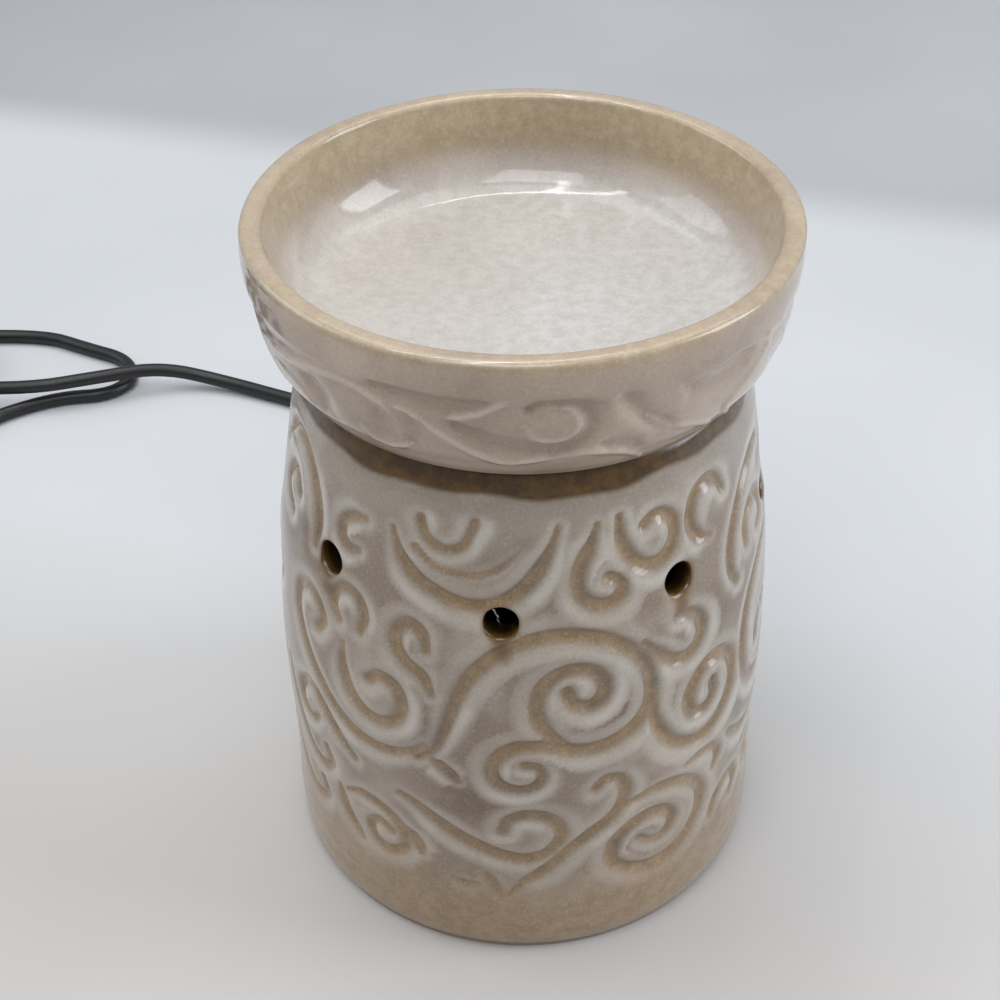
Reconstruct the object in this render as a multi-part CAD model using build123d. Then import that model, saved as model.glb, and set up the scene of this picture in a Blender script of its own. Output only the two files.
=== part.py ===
from build123d import *
from math import asin, atan2, cos, hypot, pi, radians, sin, sqrt, tan
import os

# An electric wax melt warmer. A lift-off stoneware dish stands on a slip-cast stoneware body,
# which holds a small globe bulb on a sheet-steel base plate. The mains lead leaves at the back,
# and its spare length lies beside the warmer as a tied hank, with a feed-through switch and a
# plug. Millimetres, +Z up, origin on the floor under the middle of the body; -Y is the front.

os.makedirs("parts", exist_ok=True)

# Fits and overruns
overrun = 1.0  # how far a cutting body runs past what it cuts
seat_gap = 0.1  # between pieces that are seated on each other for good
loose_gap = 0.5  # between a piece and the pocket that only locates it
axle_gap = 0.06  # radial running clearance of the switch wheel

# Stoneware body
felt_thickness = 1.0
felt_inset = 1.0
body_radius = 58.6
body_height = 138.5
body_wall = 5.0
body_outline_shares = ((0.978, 0.0), (0.993, 0.2), (1.0, 0.41), (0.966, 0.69), (0.888, 0.905), (0.846, 0.965))
seat_inset = 11.6  # of the seat's outer edge from the body's widest radius
seat_width = 2.4
neck_depth = 6.5
foot_bevel = 0.8
foot_width = 7.4  # of the foot, from the body's widest radius in to the rebate
rebate_depth = 11.0
ledge_width = 3.7
ledge_height = 4.0
ledge_slope_height = 9.0
inner_belly_share = 0.41
inner_shoulder_share = 0.69
vent_radius = 3.7
vent_azimuths = (-49.5, -4.8, 37.7, 82.0, 127.0, 172.0, 216.0, 263.0)  # pierced by hand, degrees right of the front
vent_height_shares = (0.758, 0.744, 0.76, 0.753, 0.76, 0.748, 0.755, 0.75)
cord_axis_height = 6.0
notch_half_width = 4.2

# Scrolls incised in the outside of the body. Both halves of the mould carry the same ones, so
# they come again half a turn on. Each is drawn through points in degrees right of the front and
# shares of the body's height.
scroll_width = 3.8
scroll_depth = 1.3
scroll_tip_share = 0.45
scroll_repeats = 2
scroll_point_shares = (
    ((-31, 0.873), (-28, 0.825), (-19, 0.78), (-9, 0.771), (-1, 0.798), (5, 0.852), (8, 0.906)),
    ((54.5, 0.866), (48.6, 0.901), (42.6, 0.868), (44.6, 0.814), (48.5, 0.803)),
    ((79, 0.866), (67, 0.849), (58, 0.78), (55.6, 0.705), (57.6, 0.677)),
    (
        (-24, 0.444), (-17.6, 0.513), (-13.2, 0.614), (-4.6, 0.69), (7, 0.718), (19, 0.696),
        (28, 0.627), (28.8, 0.542), (20.2, 0.488), (9, 0.49), (-1.6, 0.498), (-6.9, 0.446),
        (-1.8, 0.404), (4.3, 0.432), (0.4, 0.461),
    ),
    ((12.4, 0.484), (4.4, 0.54), (3.7, 0.615), (11.6, 0.651), (18, 0.614), (14.4, 0.573), (9.6, 0.608)),
    (
        (29.4, 0.592), (30.8, 0.495), (38, 0.422), (49.2, 0.419), (56, 0.495), (50.6, 0.562),
        (41.6, 0.537), (41.6, 0.474), (48, 0.488), (48, 0.517),
    ),
    ((-22, 0.477), (-33.6, 0.432), (-47, 0.455), (-57.6, 0.523), (-63.4, 0.606), (-57.6, 0.671), (-51.4, 0.625)),
    ((-80, 0.866), (-72, 0.913), (-60.6, 0.888), (-55.2, 0.807), (-55.4, 0.758)),
    ((-29, 0.343), (-15.6, 0.283), (1.2, 0.234), (8.5, 0.28), (4.8, 0.338), (-3.4, 0.329), (-4.6, 0.303)),
    (
        (21.6, 0.322), (31.6, 0.342), (42.8, 0.309), (46.4, 0.227), (37.6, 0.159), (25, 0.169),
        (21.4, 0.238), (30, 0.286), (37.2, 0.245), (31, 0.217), (28, 0.235),
    ),
    ((-46, 0.267), (-36.4, 0.286), (-28.2, 0.231), (-34, 0.181), (-38.6, 0.227), (-32.4, 0.231)),
    ((84, 0.686), (71, 0.663), (61, 0.513), (67, 0.417), (79, 0.426), (80, 0.52), (70.4, 0.485)),
)

# Stoneware dish
dish_radius = 60.2
dish_height = 32.5
dish_foot_overhang = 3.0  # of the dish's lowest edge over the seat's outer edge
dish_outline_shares = (
    (0.0, 0.0), (0.185, 0.05), (0.392, 0.135), (0.608, 0.235), (0.755, 0.37),
    (0.847, 0.53), (0.9, 0.64), (0.973, 0.75), (1.0, 0.87), (0.959, 0.965),
)
lip_width = 5.3
lip_crown = 0.9
bowl_outline_shares = ((0.992, 0.86), (0.965, 0.66), (0.925, 0.47), (0.845, 0.355), (0.73, 0.312), (0.45, 0.302))
bowl_floor_share = 0.3
dish_floor_thickness = 5.5
dish_ring_gap = 1.4
dish_ring_width = 4.0
dish_ring_depth = 4.0

# Base plate, pressed from sheet steel, and what is fixed to it
plate_thickness = 1.0
plate_gap = 0.6
plate_rim_depth = 4.0
plate_slot_count = 8
plate_slot_inset = 12.2  # of the slots' middles from the rebate
plate_slot_length = 12.0
plate_slot_width = 3.0
sealant_size = 1.6
grommet_inset = 23.2  # of its middle from the rebate
grommet_bore = 2.9
grommet_radius = 5.6
grommet_groove = 4.0
grommet_lip = 1.5

# Lamp holder for a small candelabra screw cap
holder_flange_radius = 15.0
holder_flange_thickness = 3.5
holder_radius = 9.6
holder_height = 28.0
holder_bore = 7.1
holder_bore_depth = 21.0
screw_shell_wall = 0.45
screw_shell_height = 15.0
contact_width = 4.0
contact_thickness = 0.5
contact_gap = 0.3
holder_screw_offset = 12.2
holder_screw_radius = 1.5
holder_screw_head_radius = 2.5
holder_screw_head = 1.6
holder_nut_radius = 3.1
holder_nut_height = 2.0
terminal_spread = 4.6
terminal_height = 8.0
terminal_radius = 1.4
terminal_head_radius = 2.3
terminal_head = 1.4
terminal_depth = 2.4

# Globe bulb with its screw cap
bulb_length = 78.0
bulb_radius = 26.0
bulb_glass = 0.8
bulb_neck_radius = 5.1
bulb_neck_height = 22.0
bulb_seat_above_bore = 2.5
cap_radius = 5.9
cap_wall = 0.4
cap_height = 15.0
cap_skirt_radius = 6.6
cap_skirt_height = 1.6
insulator_height = 3.2
insulator_tip_radius = 3.2
bulb_contact_radius = 2.2
bulb_contact_height = 1.0
stem_height = 22.0
stem_flare_radius = 4.0
stem_rod_radius = 1.6
support_radius = 0.35
support_spread = 9.0
support_height = 20.0
filament_radius = 0.45
filament_sag = 3.0

# Mains lead
cord_diameter = 4.6
wire_radius = 1.0
wire_spread = 1.2
sheath_tail = 12.9  # of the sheath inside the strain relief
relief_flange_radius = 4.8
relief_flange = 2.0
relief_neck_gap = 0.3
relief_taper_length = 24.0
relief_root_radius = 4.3
relief_tip_radius = 2.95
floor_height = 2.4  # of the lead's centre line where it lies on the floor
arc_share = 0.45  # of a run, that each of its two arcs may take
hank_run_in = 22.0  # straight runs next to the hank, the switch and the plug
hank_run_out = 14.0
switch_run = 8.0
plug_run = 9.0

# Tied hank of the spare length, wound as a long loop drawn in at its waist
hank_centre = (-246.0, 190.0)
hank_turn = 8.0  # degrees, long axis against the X axis
hank_floor_height = 3.3
hank_fold_offset = 35.0
hank_fold_radius = 13.8
hank_waist = 5.4
hank_pitch = 5.15
hank_layer_rise = 5.15
hank_top_runs = 3  # runs wound inwards on the upper layer before the one that climbs
hank_bottom_runs = 4  # runs wound outwards on the lower layer after it
tie_width = 4.0
tie_thickness = 0.6
tie_gap = 0.35
tie_tail_length = 12.0
tie_tail_radius = 1.1

# Feed-through switch and plug, which lie beside the hank
switch_centre = (-236.0, 138.0)
switch_turn = 194.0
switch_length = 52.0
switch_width = 22.0
switch_height = 14.0
switch_end_width = 13.0
switch_corner = 3.0
switch_edge = 2.0
switch_wheel_radius = 9.5
switch_wheel_thickness = 3.6
switch_wheel_offset = 3.4
switch_wheel_ribs = 20
switch_wheel_rib_depth = 0.6
switch_axle_radius = 1.5
switch_pocket_gap = 0.6
switch_port_depth = 9.0
switch_contact_length = 6.0
switch_contact_height = 3.0
switch_contact_thickness = 0.6
switch_screw_radius = 1.4
switch_screw_head_radius = 2.6
switch_screw_head = 1.6
switch_screw_length = 9.0
switch_screw_place_shares = (0.3, -0.27)
plug_face = (-214.0, 92.0)
plug_turn = 4.0
plug_length = 27.0
plug_width = 22.0
plug_height = 13.5
plug_edge = 3.0
plug_back_share = 0.72
plug_relief_length = 24.0
plug_relief_root = 4.4
plug_relief_tip = 3.0
blade_spacing = 12.7
blade_width = 6.35
blade_thickness = 1.5
blade_length = 16.0
blade_root = 6.0
blade_hole_radius = 1.6
blade_hole_share = 0.7

# Places that several pieces share
seat_outer_radius = body_radius - seat_inset
neck_radius = seat_outer_radius - seat_width
rebate_radius = body_radius - foot_width
ledge_radius = rebate_radius - ledge_width
dish_foot_radius = seat_outer_radius + dish_foot_overhang
grommet_offset = rebate_radius - grommet_inset
relief_start = rebate_radius - relief_flange - relief_neck_gap
relief_root = body_radius + relief_neck_gap + relief_flange
relief_tip = relief_root + relief_taper_length
sheath_end = relief_start - sheath_tail
body_bottom = felt_thickness
seat_height = body_bottom + body_height
plate_top = body_bottom + rebate_depth
holder_top = plate_top + holder_height
bore_floor = holder_top - holder_bore_depth
bulb_bottom = bore_floor + bulb_seat_above_bore
cord_radius = cord_diameter / 2


def outline(shares, radius, height, base):
    """Points of a turned outline from shares of its radius and height."""
    return [(radius * r, base + height * z) for r, z in shares]


def turned(curves):
    """A solid turned about Z from a closed chain of curves drawn in the XZ plane."""
    return revolve(Plane.XZ * make_face(curves), Axis.Z)


def path_of(points, radius_shares=None):
    """Straight runs joined by tangent arcs as large as the two runs at each corner allow."""
    spots = [Vector(*p) for p in points]
    radii = []
    for before, here, after in zip(spots, spots[1:], spots[2:]):
        shorter = min((here - before).length, (after - here).length)
        turn = radians((here - before).get_angle(after - here))
        radii.append(arc_share * shorter / tan(turn / 2))
    return FilletPolyline(*spots, radius=radii), radii


def tube(path, radius):
    """A round rod swept along a path."""
    return sweep(Plane(path @ 0, z_dir=path % 0) * Circle(radius), path=path)


def lead(name, points, radius=cord_radius):
    """A stretch of the lead along a hand-chosen route, with its radii and volume printed."""
    path, radii = path_of(points)
    solid = tube(path, radius)
    section = pi * radius**2 * path.length
    print(name, "radii", [round(r, 1) for r in radii], "length", round(path.length, 1))
    print(name, "volume over section times length", round(solid.volume / section, 4))
    return solid


# Stoneware body


def ceramic_body():
    """Turned shell with neck, foot rebate and ledge, eight pierced vents and a cord notch."""
    outer = outline(body_outline_shares, body_radius, body_height, body_bottom)
    belly = next(r for r, z in body_outline_shares if z == inner_belly_share)
    shoulder = next(r for r, z in body_outline_shares if z == inner_shoulder_share)
    inner_belly = (body_radius * belly - body_wall, body_bottom + body_height * inner_belly_share)
    inner_shoulder = (body_radius * shoulder - body_wall, body_bottom + body_height * inner_shoulder_share)
    neck_bottom = (neck_radius, seat_height - neck_depth)
    ledge_bottom = (ledge_radius, plate_top)
    ledge_top = (ledge_radius, plate_top + ledge_height)
    slope_top = (inner_belly[0], ledge_top[1] + ledge_slope_height)
    foot = (outer[0][0] - foot_bevel, body_bottom)
    wall = wall_line([(outer[0][0], body_bottom + foot_bevel), *outer[1:]])
    shell = turned(
        wall
        + TangentArc(wall @ 1, (seat_outer_radius, seat_height), tangent=wall % 1)
        + Polyline((seat_outer_radius, seat_height), (neck_radius, seat_height), neck_bottom)
        + Spline(neck_bottom, inner_shoulder, inner_belly, tangents=[(0.3, -1), (0, -1)])
        + Polyline(inner_belly, slope_top, ledge_top, ledge_bottom, (rebate_radius, plate_top))
        + Polyline((rebate_radius, plate_top), (rebate_radius, body_bottom), foot)
        + Line(foot, wall @ 0)
    )
    for azimuth, share in zip(vent_azimuths, vent_height_shares):
        drill = Cylinder(vent_radius, body_radius, align=(Align.CENTER, Align.CENTER, Align.MIN))
        out = Plane((0, 0, body_bottom + body_height * share), z_dir=(sin(radians(azimuth)), -cos(radians(azimuth)), 0))
        shell -= out * drill
    arch = Plane.XZ * (
        Pos(0, cord_axis_height) * Circle(notch_half_width)
        + Pos(0, cord_axis_height / 2) * Rectangle(2 * notch_half_width, cord_axis_height)
    )
    return shell - extrude(arch, amount=-(body_radius + overrun)) - scroll_cutters()


def wall_line(points):
    """Arcs up the wall through the points of its outline, each tangent to the one below it."""
    arcs = [ThreePointArc(*points[:3])]
    for end in points[3:]:
        arcs.append(TangentArc(arcs[-1] @ 1, end, tangent=arcs[-1] % 1))
    return Wire(arcs)


def scroll_ribbon(points):
    """One scroll as a ribbon round its line, narrower at both tips, pushed out through the wall."""
    middle = (min(a for a, _ in points) + max(a for a, _ in points)) / 2
    line = Spline(*[(body_radius * sin(radians(a - middle)), body_height * share) for a, share in points])
    steps = 2 * len(points)
    left, right = [], []
    for i in range(steps + 1):
        swell = min(1, 2 * sin(pi * i / steps))
        half = scroll_width / 2 * (scroll_tip_share + (1 - scroll_tip_share) * swell)
        heading = line % (i / steps)
        across = Vector(-heading.Y, heading.X) * half
        left.append(line @ (i / steps) + across)
        right.append(line @ (i / steps) - across)
    tip = scroll_width / 2 * scroll_tip_share
    far_tip = ThreePointArc(left[-1], line @ 1 + (line % 1) * tip, right[-1])
    near_tip = ThreePointArc(right[0], line @ 0 - (line % 0) * tip, left[0])
    ribbon = make_face(Spline(*left) + far_tip + Spline(*right[::-1]) + near_tip)
    out = Vector(sin(radians(middle)), -cos(radians(middle)), 0)
    inside = out * (body_radius / 2) + Vector(0, 0, body_bottom)
    return extrude(Plane(inside, x_dir=(-out.Y, out.X, 0), z_dir=out) * ribbon, amount=body_radius / 2 + overrun)


def scroll_cutters():
    """Every scroll, on both halves, less a core that stops it at the carving's depth."""
    inner = [(r - scroll_depth, z) for r, z in outline(body_outline_shares, body_radius, body_height, body_bottom)]
    core = turned(wall_line(inner) + Polyline(inner[-1], (0, inner[-1][1]), (0, inner[0][1]), inner[0]))
    cutters = []
    for points in scroll_point_shares:
        cut = scroll_ribbon(points) - core
        cutters += [Rot(0, 0, 360 / scroll_repeats * k) * cut for k in range(scroll_repeats)]
    return cutters


def foot_felt():
    """Felt ring under the foot, open at the cord notch."""
    outer_radius = body_radius * body_outline_shares[0][0] - felt_inset
    inner_radius = rebate_radius + felt_inset
    align = (Align.CENTER, Align.CENTER, Align.MIN)
    ring = Cylinder(outer_radius, felt_thickness, align=align) - Cylinder(inner_radius, felt_thickness, align=align)
    gap = Box(2 * (notch_half_width + felt_inset), body_radius, felt_thickness, align=(Align.CENTER, Align.MIN, Align.MIN))
    return ring - gap


# Stoneware dish


def wax_dish():
    """Turned dish with a thick rounded lip, a shallow bowl and a ring that drops into the neck."""
    flare = outline(dish_outline_shares, dish_radius - dish_foot_radius, dish_height, seat_height)
    outer = [(dish_foot_radius + r, z) for r, z in flare]
    lip_inner = dish_radius - lip_width
    inside = outline(bowl_outline_shares, lip_inner, dish_height, seat_height)
    top = seat_height + dish_height
    ring_outer = neck_radius - dish_ring_gap
    ring_inner = ring_outer - dish_ring_width
    floor = seat_height + dish_height * bowl_floor_share
    under = floor - dish_floor_thickness
    side = Spline(*outer)
    crown = (dish_radius - lip_width / 2, top)
    bowl = Spline((lip_inner, top - lip_crown), *inside, (0, floor), tangents=[(-0.15, -1), (-1, 0)])
    lip = Spline(outer[-1], crown, (lip_inner, top - lip_crown), tangents=[(-0.3, 1), (-0.15, -1)])
    return turned(
        side
        + lip
        + bowl
        + Polyline((0, floor), (0, under), (ring_inner, under), (ring_inner, seat_height - dish_ring_depth))
        + Polyline(
            (ring_inner, seat_height - dish_ring_depth),
            (ring_outer, seat_height - dish_ring_depth),
            (ring_outer, seat_height),
            outer[0],
        )
    )


# Base plate and lamp holder


def base_plate():
    """Pressed disc with a turned-down rim, air slots and holes for the holder and the lead."""
    radius = rebate_radius - plate_gap
    align = (Align.CENTER, Align.CENTER, Align.MAX)
    plate = Pos(0, 0, plate_top) * Cylinder(radius, plate_rim_depth, align=align)
    plate -= Pos(0, 0, plate_top - plate_thickness) * Cylinder(radius - plate_thickness, plate_rim_depth, align=align)
    slot = SlotCenterToCenter(plate_slot_length, plate_slot_width, rotation=90)
    ring = rebate_radius - plate_slot_inset
    slots = [Rot(0, 0, 360 / plate_slot_count * (i + 0.5)) * Pos(ring) * slot for i in range(plate_slot_count)]
    holes = [Pos(side * holder_screw_offset) * Circle(holder_screw_radius + seat_gap) for side in (-1, 1)]
    holes.append(Pos(0, grommet_offset) * Circle(grommet_groove))
    cutter = Pos(0, 0, plate_top - plate_thickness - overrun) * Sketch(children=slots + holes)
    plate -= extrude(cutter, amount=plate_thickness + 2 * overrun, dir=(0, 0, 1))
    doorway = Box(
        2 * (relief_flange_radius + loose_gap), radius, plate_rim_depth, align=(Align.CENTER, Align.MIN, Align.MAX)
    )
    return plate - Pos(0, relief_start - loose_gap, plate_top - plate_thickness) * doorway


def base_sealant():
    """Bead of silicone that holds the plate's rim in the rebate."""
    outer = rebate_radius
    top = plate_top - plate_rim_depth
    bead = Polyline((outer, top), (outer - sealant_size, top), (outer, top - sealant_size), (outer, top))
    ring = turned(bead)
    return ring - Pos(0, 0, top) * Box(
        2 * (relief_flange_radius + loose_gap), 2 * body_radius, 2 * sealant_size, align=(Align.CENTER, Align.MIN, Align.CENTER)
    )


def plate_grommet():
    """Rubber grommet round the two conductors, grooved for the plate."""
    low = plate_top - plate_thickness - grommet_lip
    high = plate_top + grommet_lip
    groove = grommet_groove - seat_gap
    profile = Polyline(
        (grommet_bore, low),
        (grommet_radius, low),
        (grommet_radius, plate_top - plate_thickness),
        (groove, plate_top - plate_thickness),
        (groove, plate_top),
        (grommet_radius, plate_top),
        (grommet_radius, high),
        (grommet_bore, high),
        (grommet_bore, low),
    )
    return Pos(0, grommet_offset) * turned(profile)


def lamp_holder():
    """Moulded phenolic holder: flange, barrel, bore for the screw shell and terminal recesses."""
    body = turned(
        Polyline(
            (0, plate_top),
            (holder_flange_radius, plate_top),
            (holder_flange_radius, plate_top + holder_flange_thickness),
            (holder_radius, plate_top + holder_flange_thickness),
            (holder_radius, holder_top),
            (holder_bore, holder_top),
            (holder_bore, bore_floor),
            (0, bore_floor),
            (0, plate_top),
        )
    )
    for side in (-1, 1):
        body -= Pos(side * holder_screw_offset, 0, plate_top) * Cylinder(
            holder_screw_radius + seat_gap, 2 * (holder_flange_thickness + overrun)
        )
        face = Plane((side * terminal_spread, holder_radius, plate_top + terminal_height), z_dir=(0, 1, 0))
        body -= face * Cylinder(terminal_head_radius + seat_gap, 2 * terminal_depth)
        body -= face * Cylinder(terminal_radius + seat_gap, 2 * (terminal_depth + terminal_depth))
    return body


def screw_shell():
    """Thin brass shell that takes the bulb's cap."""
    outer = holder_bore - seat_gap
    align = (Align.CENTER, Align.CENTER, Align.MAX)
    shell = Cylinder(outer, screw_shell_height, align=align)
    shell -= Cylinder(outer - screw_shell_wall, screw_shell_height, align=align)
    return Pos(0, 0, holder_top - screw_shell_wall) * shell


def centre_contact():
    """Sprung brass tongue under the bulb's tip."""
    reach = holder_bore - 2 * seat_gap
    tip = bulb_bottom - contact_gap - contact_thickness
    bend = (-reach / 2, bore_floor)
    base = Pos(0, 0, bore_floor) * Box(reach, contact_width, contact_thickness, align=(Align.CENTER, Align.CENTER, Align.MIN))
    tongue_points = [
        bend,
        (bend[0], bore_floor + contact_thickness),
        (0, tip + contact_thickness),
        (reach / 3, tip + contact_thickness),
        (reach / 3, tip),
        (0, tip),
        (bend[0] + contact_thickness, bore_floor),
        bend,
    ]
    tongue = extrude(Plane.XZ * make_face(Polyline(*tongue_points)), amount=contact_width / 2, both=True)
    return base + tongue


def screw(radius, length, head_radius, head):
    """A pan-head screw whose head stands on the plane and whose shank runs down."""
    pan = Cylinder(head_radius, head, align=(Align.CENTER, Align.CENTER, Align.MIN))
    pan = fillet(pan.edges().sort_by(Axis.Z)[-1], head / 2)
    return pan + Cylinder(radius, length, align=(Align.CENTER, Align.CENTER, Align.MAX))


def holder_screws():
    """Two screws through the holder's flange and the plate."""
    length = holder_flange_thickness + plate_thickness + holder_nut_height
    one = screw(holder_screw_radius, length, holder_screw_head_radius, holder_screw_head)
    top = plate_top + holder_flange_thickness
    return Compound(children=[Pos(side * holder_screw_offset, 0, top) * one for side in (-1, 1)])


def holder_nuts():
    """Hexagon nuts on those screws, under the plate."""
    nut = extrude(RegularPolygon(holder_nut_radius, 6), amount=holder_nut_height)
    nut -= Cylinder(holder_screw_radius + seat_gap, 2 * (holder_nut_height + overrun))
    low = plate_top - plate_thickness - holder_nut_height
    return Compound(children=[Pos(side * holder_screw_offset, 0, low) * nut for side in (-1, 1)])


def terminal_screws():
    """Two brass terminal screws on the back of the holder."""
    one = screw(terminal_radius, terminal_depth, terminal_head_radius, terminal_head)
    seat = holder_radius - terminal_depth
    spots = [Plane((side * terminal_spread, seat, plate_top + terminal_height), z_dir=(0, 1, 0)) for side in (-1, 1)]
    return Compound(children=[spot * one for spot in spots])


# Bulb


def bulb_outline(inset):
    """Globe outline inside the glass by inset: neck line, a tangent cone and the globe's arc."""
    radius = bulb_radius - inset
    neck = bulb_neck_radius - inset
    centre = bulb_bottom + bulb_length - bulb_radius
    start = bulb_bottom + bulb_contact_height + insulator_height + cap_skirt_height
    neck_top = bulb_bottom + bulb_neck_height
    reach = centre - neck_top
    distance = hypot(neck, reach)
    below = asin(radius / distance) - atan2(neck, reach)
    touch = (radius * cos(below), centre - radius * sin(below))
    return start, neck, neck_top, touch, radius, centre


def globe_curves(inset):
    start, neck, neck_top, touch, radius, centre = bulb_outline(inset)
    side = Polyline((neck, start), (neck, neck_top), touch)
    middle = (radius * cos(pi / 8), centre + radius * sin(pi / 8))
    return side, ThreePointArc(touch, middle, (0, centre + radius))


def bulb_envelope():
    """Blown glass globe with an even wall, open at the bottom of its neck."""
    outer_side, outer_top = globe_curves(0)
    inner_side, inner_top = globe_curves(bulb_glass)
    return turned(
        outer_side + outer_top + Line(outer_top @ 1, inner_top @ 1) + inner_top + inner_side + Line(inner_side @ 0, outer_side @ 0)
    )


def bulb_cap():
    """Plated brass screw cap with its flared skirt."""
    low = bulb_bottom + bulb_contact_height + insulator_height
    high = low + cap_height
    inner = cap_radius - cap_wall
    return turned(
        Polyline(
            (inner, low),
            (cap_radius, low),
            (cap_radius, high),
            (cap_skirt_radius, high + cap_skirt_height),
            (cap_skirt_radius - cap_wall, high + cap_skirt_height),
            (inner, high),
            (inner, low),
        )
    )


def bulb_insulator():
    """Black glass insulator between the cap and the tip."""
    low = bulb_bottom + bulb_contact_height
    high = low + insulator_height
    return turned(
        Polyline(
            (0, low), (insulator_tip_radius, low), (cap_radius - cap_wall, high - insulator_height / 3),
            (cap_radius - cap_wall, high), (0, high), (0, low),
        )
    )


def bulb_contact():
    """Solder tip of the cap."""
    low, high = bulb_bottom, bulb_bottom + bulb_contact_height
    return turned(
        Polyline((0, low), (bulb_contact_radius / 2, low), (bulb_contact_radius, high), (0, high), (0, low))
    )


def bulb_stem():
    """Pressed glass mount: flare in the neck and rod up to the support wires."""
    low = bulb_bottom + bulb_contact_height + insulator_height
    return turned(
        Polyline(
            (0, low), (stem_flare_radius, low), (stem_rod_radius, low + stem_height / 2),
            (stem_rod_radius, low + stem_height), (0, low + stem_height), (0, low),
        )
    )


def support_tip(side):
    """Top of a support wire, where the filament is clamped."""
    low = bulb_bottom + bulb_contact_height + insulator_height + stem_height
    return (side * support_spread, 0, low + support_height)


def bulb_leads():
    """Two support wires that spread from the stem to the filament's ends."""
    low = bulb_bottom + bulb_contact_height + insulator_height + stem_height
    wires = []
    for side in (-1, 1):
        foot = (side * stem_rod_radius / 2, 0, low)
        bend = (side * stem_rod_radius, 0, low + support_height / 3)
        wires.append(tube(path_of([foot, bend, support_tip(side)])[0], support_radius))
    return Compound(children=wires)


def bulb_filament():
    """Coiled filament between the support wires, as its outer tube, sagging a little."""
    left, right = support_tip(-1), support_tip(1)
    lift = support_radius + filament_radius
    ends = [(x, y, z + lift) for x, y, z in (left, right)]
    middle = (0, 0, ends[0][2] - filament_sag)
    return tube(ThreePointArc(ends[0], middle, ends[1]), filament_radius)


# Mains lead inside the foot


def strain_relief():
    """Moulded tapered strain relief, seated in the notch between its two flanges."""
    neck = notch_half_width - relief_neck_gap
    bore = cord_radius + seat_gap / 2
    profile = Polyline(
        (bore, relief_start),
        (relief_flange_radius, relief_start),
        (relief_flange_radius, relief_start + relief_flange),
        (neck, relief_start + relief_flange),
        (neck, relief_root - relief_flange),
        (relief_flange_radius, relief_root - relief_flange),
        (relief_flange_radius, relief_root),
        (relief_root_radius, relief_root),
        (relief_tip_radius, relief_tip),
        (bore, relief_tip),
        (bore, relief_start),
    )
    return Plane((0, 0, cord_axis_height), x_dir=(1, 0, 0), z_dir=(0, 1, 0)) * turned(profile)


def inner_cord():
    """Sheathed end of the lead, from the tip of the strain relief to under the plate."""
    length = relief_tip - sheath_end
    rod = Cylinder(cord_radius, length, align=(Align.CENTER, Align.CENTER, Align.MIN))
    return Plane((0, sheath_end, cord_axis_height), z_dir=(0, 1, 0)) * rod


def inner_leads():
    """The two conductors, up through the grommet to the terminals."""
    rise = plate_top + terminal_height - wire_radius
    under = grommet_offset + wire_radius
    stop = holder_radius + terminal_head
    wires = []
    for side in (-1, 1):
        route = [
            (side * wire_spread, sheath_end, cord_axis_height),
            (side * wire_spread, under, cord_axis_height),
            (side * wire_spread, grommet_offset - wire_radius, rise),
            (side * terminal_spread, stop, rise + wire_radius),
        ]
        wires.append(tube(path_of(route)[0], wire_radius))
    return Compound(children=wires)


# Free stretches and hank of the mains lead


def hank_point(along, across, height):
    """A point of the hank's own axes in the part's frame."""
    turn = radians(hank_turn)
    x = hank_centre[0] + along * cos(turn) - across * sin(turn)
    y = hank_centre[1] + along * sin(turn) + across * cos(turn)
    return Vector(x, y, height)


def hank_knot(quarter, offset):
    """Place and heading where the loop meets its own axes: right end, near side, left, far."""
    end = hank_fold_offset + hank_fold_radius + offset
    side = hank_waist + offset
    place = ((end, 0), (0, -side), (-end, 0), (0, side))[quarter % 4]
    heading = ((0, -1), (-1, 0), (0, 1), (1, 0))[quarter % 4]
    return Vector(*place), Vector(*heading)


def hank_quarter(quarter, start_offset, end_offset):
    """Both arcs of a quarter turn, as (start, middle, end): one of the fold, one of the waist."""
    first, first_heading = hank_knot(quarter, start_offset)
    last, last_heading = hank_knot(quarter + 1, end_offset)
    fold_first = quarter % 2 == 0
    apex, apex_heading = (first, first_heading) if fold_first else (last, last_heading)
    waist, waist_heading = (last, last_heading) if fold_first else (first, first_heading)
    offset = start_offset if fold_first else end_offset
    radius = hank_fold_radius + offset
    inward = Vector(apex_heading.Y, -apex_heading.X)
    fold_centre = apex + inward * radius
    outward = Vector(-waist_heading.Y, waist_heading.X)
    across = waist - fold_centre
    waist_radius = (across.length**2 - radius**2) / (2 * (radius - outward.dot(across)))
    waist_centre = waist + outward * waist_radius
    joint = fold_centre + (waist_centre - fold_centre).normalized() * radius
    fold_mid = fold_centre + ((apex - fold_centre) + (joint - fold_centre)).normalized() * radius
    waist_mid = waist_centre + ((waist - waist_centre) + (joint - waist_centre)).normalized() * waist_radius
    fold = (apex, fold_mid, joint) if fold_first else (joint, fold_mid, apex)
    bend = (joint, waist_mid, waist) if fold_first else (waist, waist_mid, joint)
    return (fold, bend) if fold_first else (bend, fold)


def climb(start, start_heading, end, end_heading):
    """Two arcs in space that leave and arrive along the given headings."""
    chord, both, apart = end - start, start_heading + end_heading, end_heading - start_heading
    spread, lean = apart.dot(apart), chord.dot(both)
    reach = (sqrt(lean * lean + spread * chord.dot(chord)) - lean) / spread
    first, last = start + start_heading * reach, end - end_heading * reach
    joint = (first + last) / 2
    return [TangentArc(start, joint, tangent=start_heading), TangentArc(joint, end, tangent=(last - first).normalized())]


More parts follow.
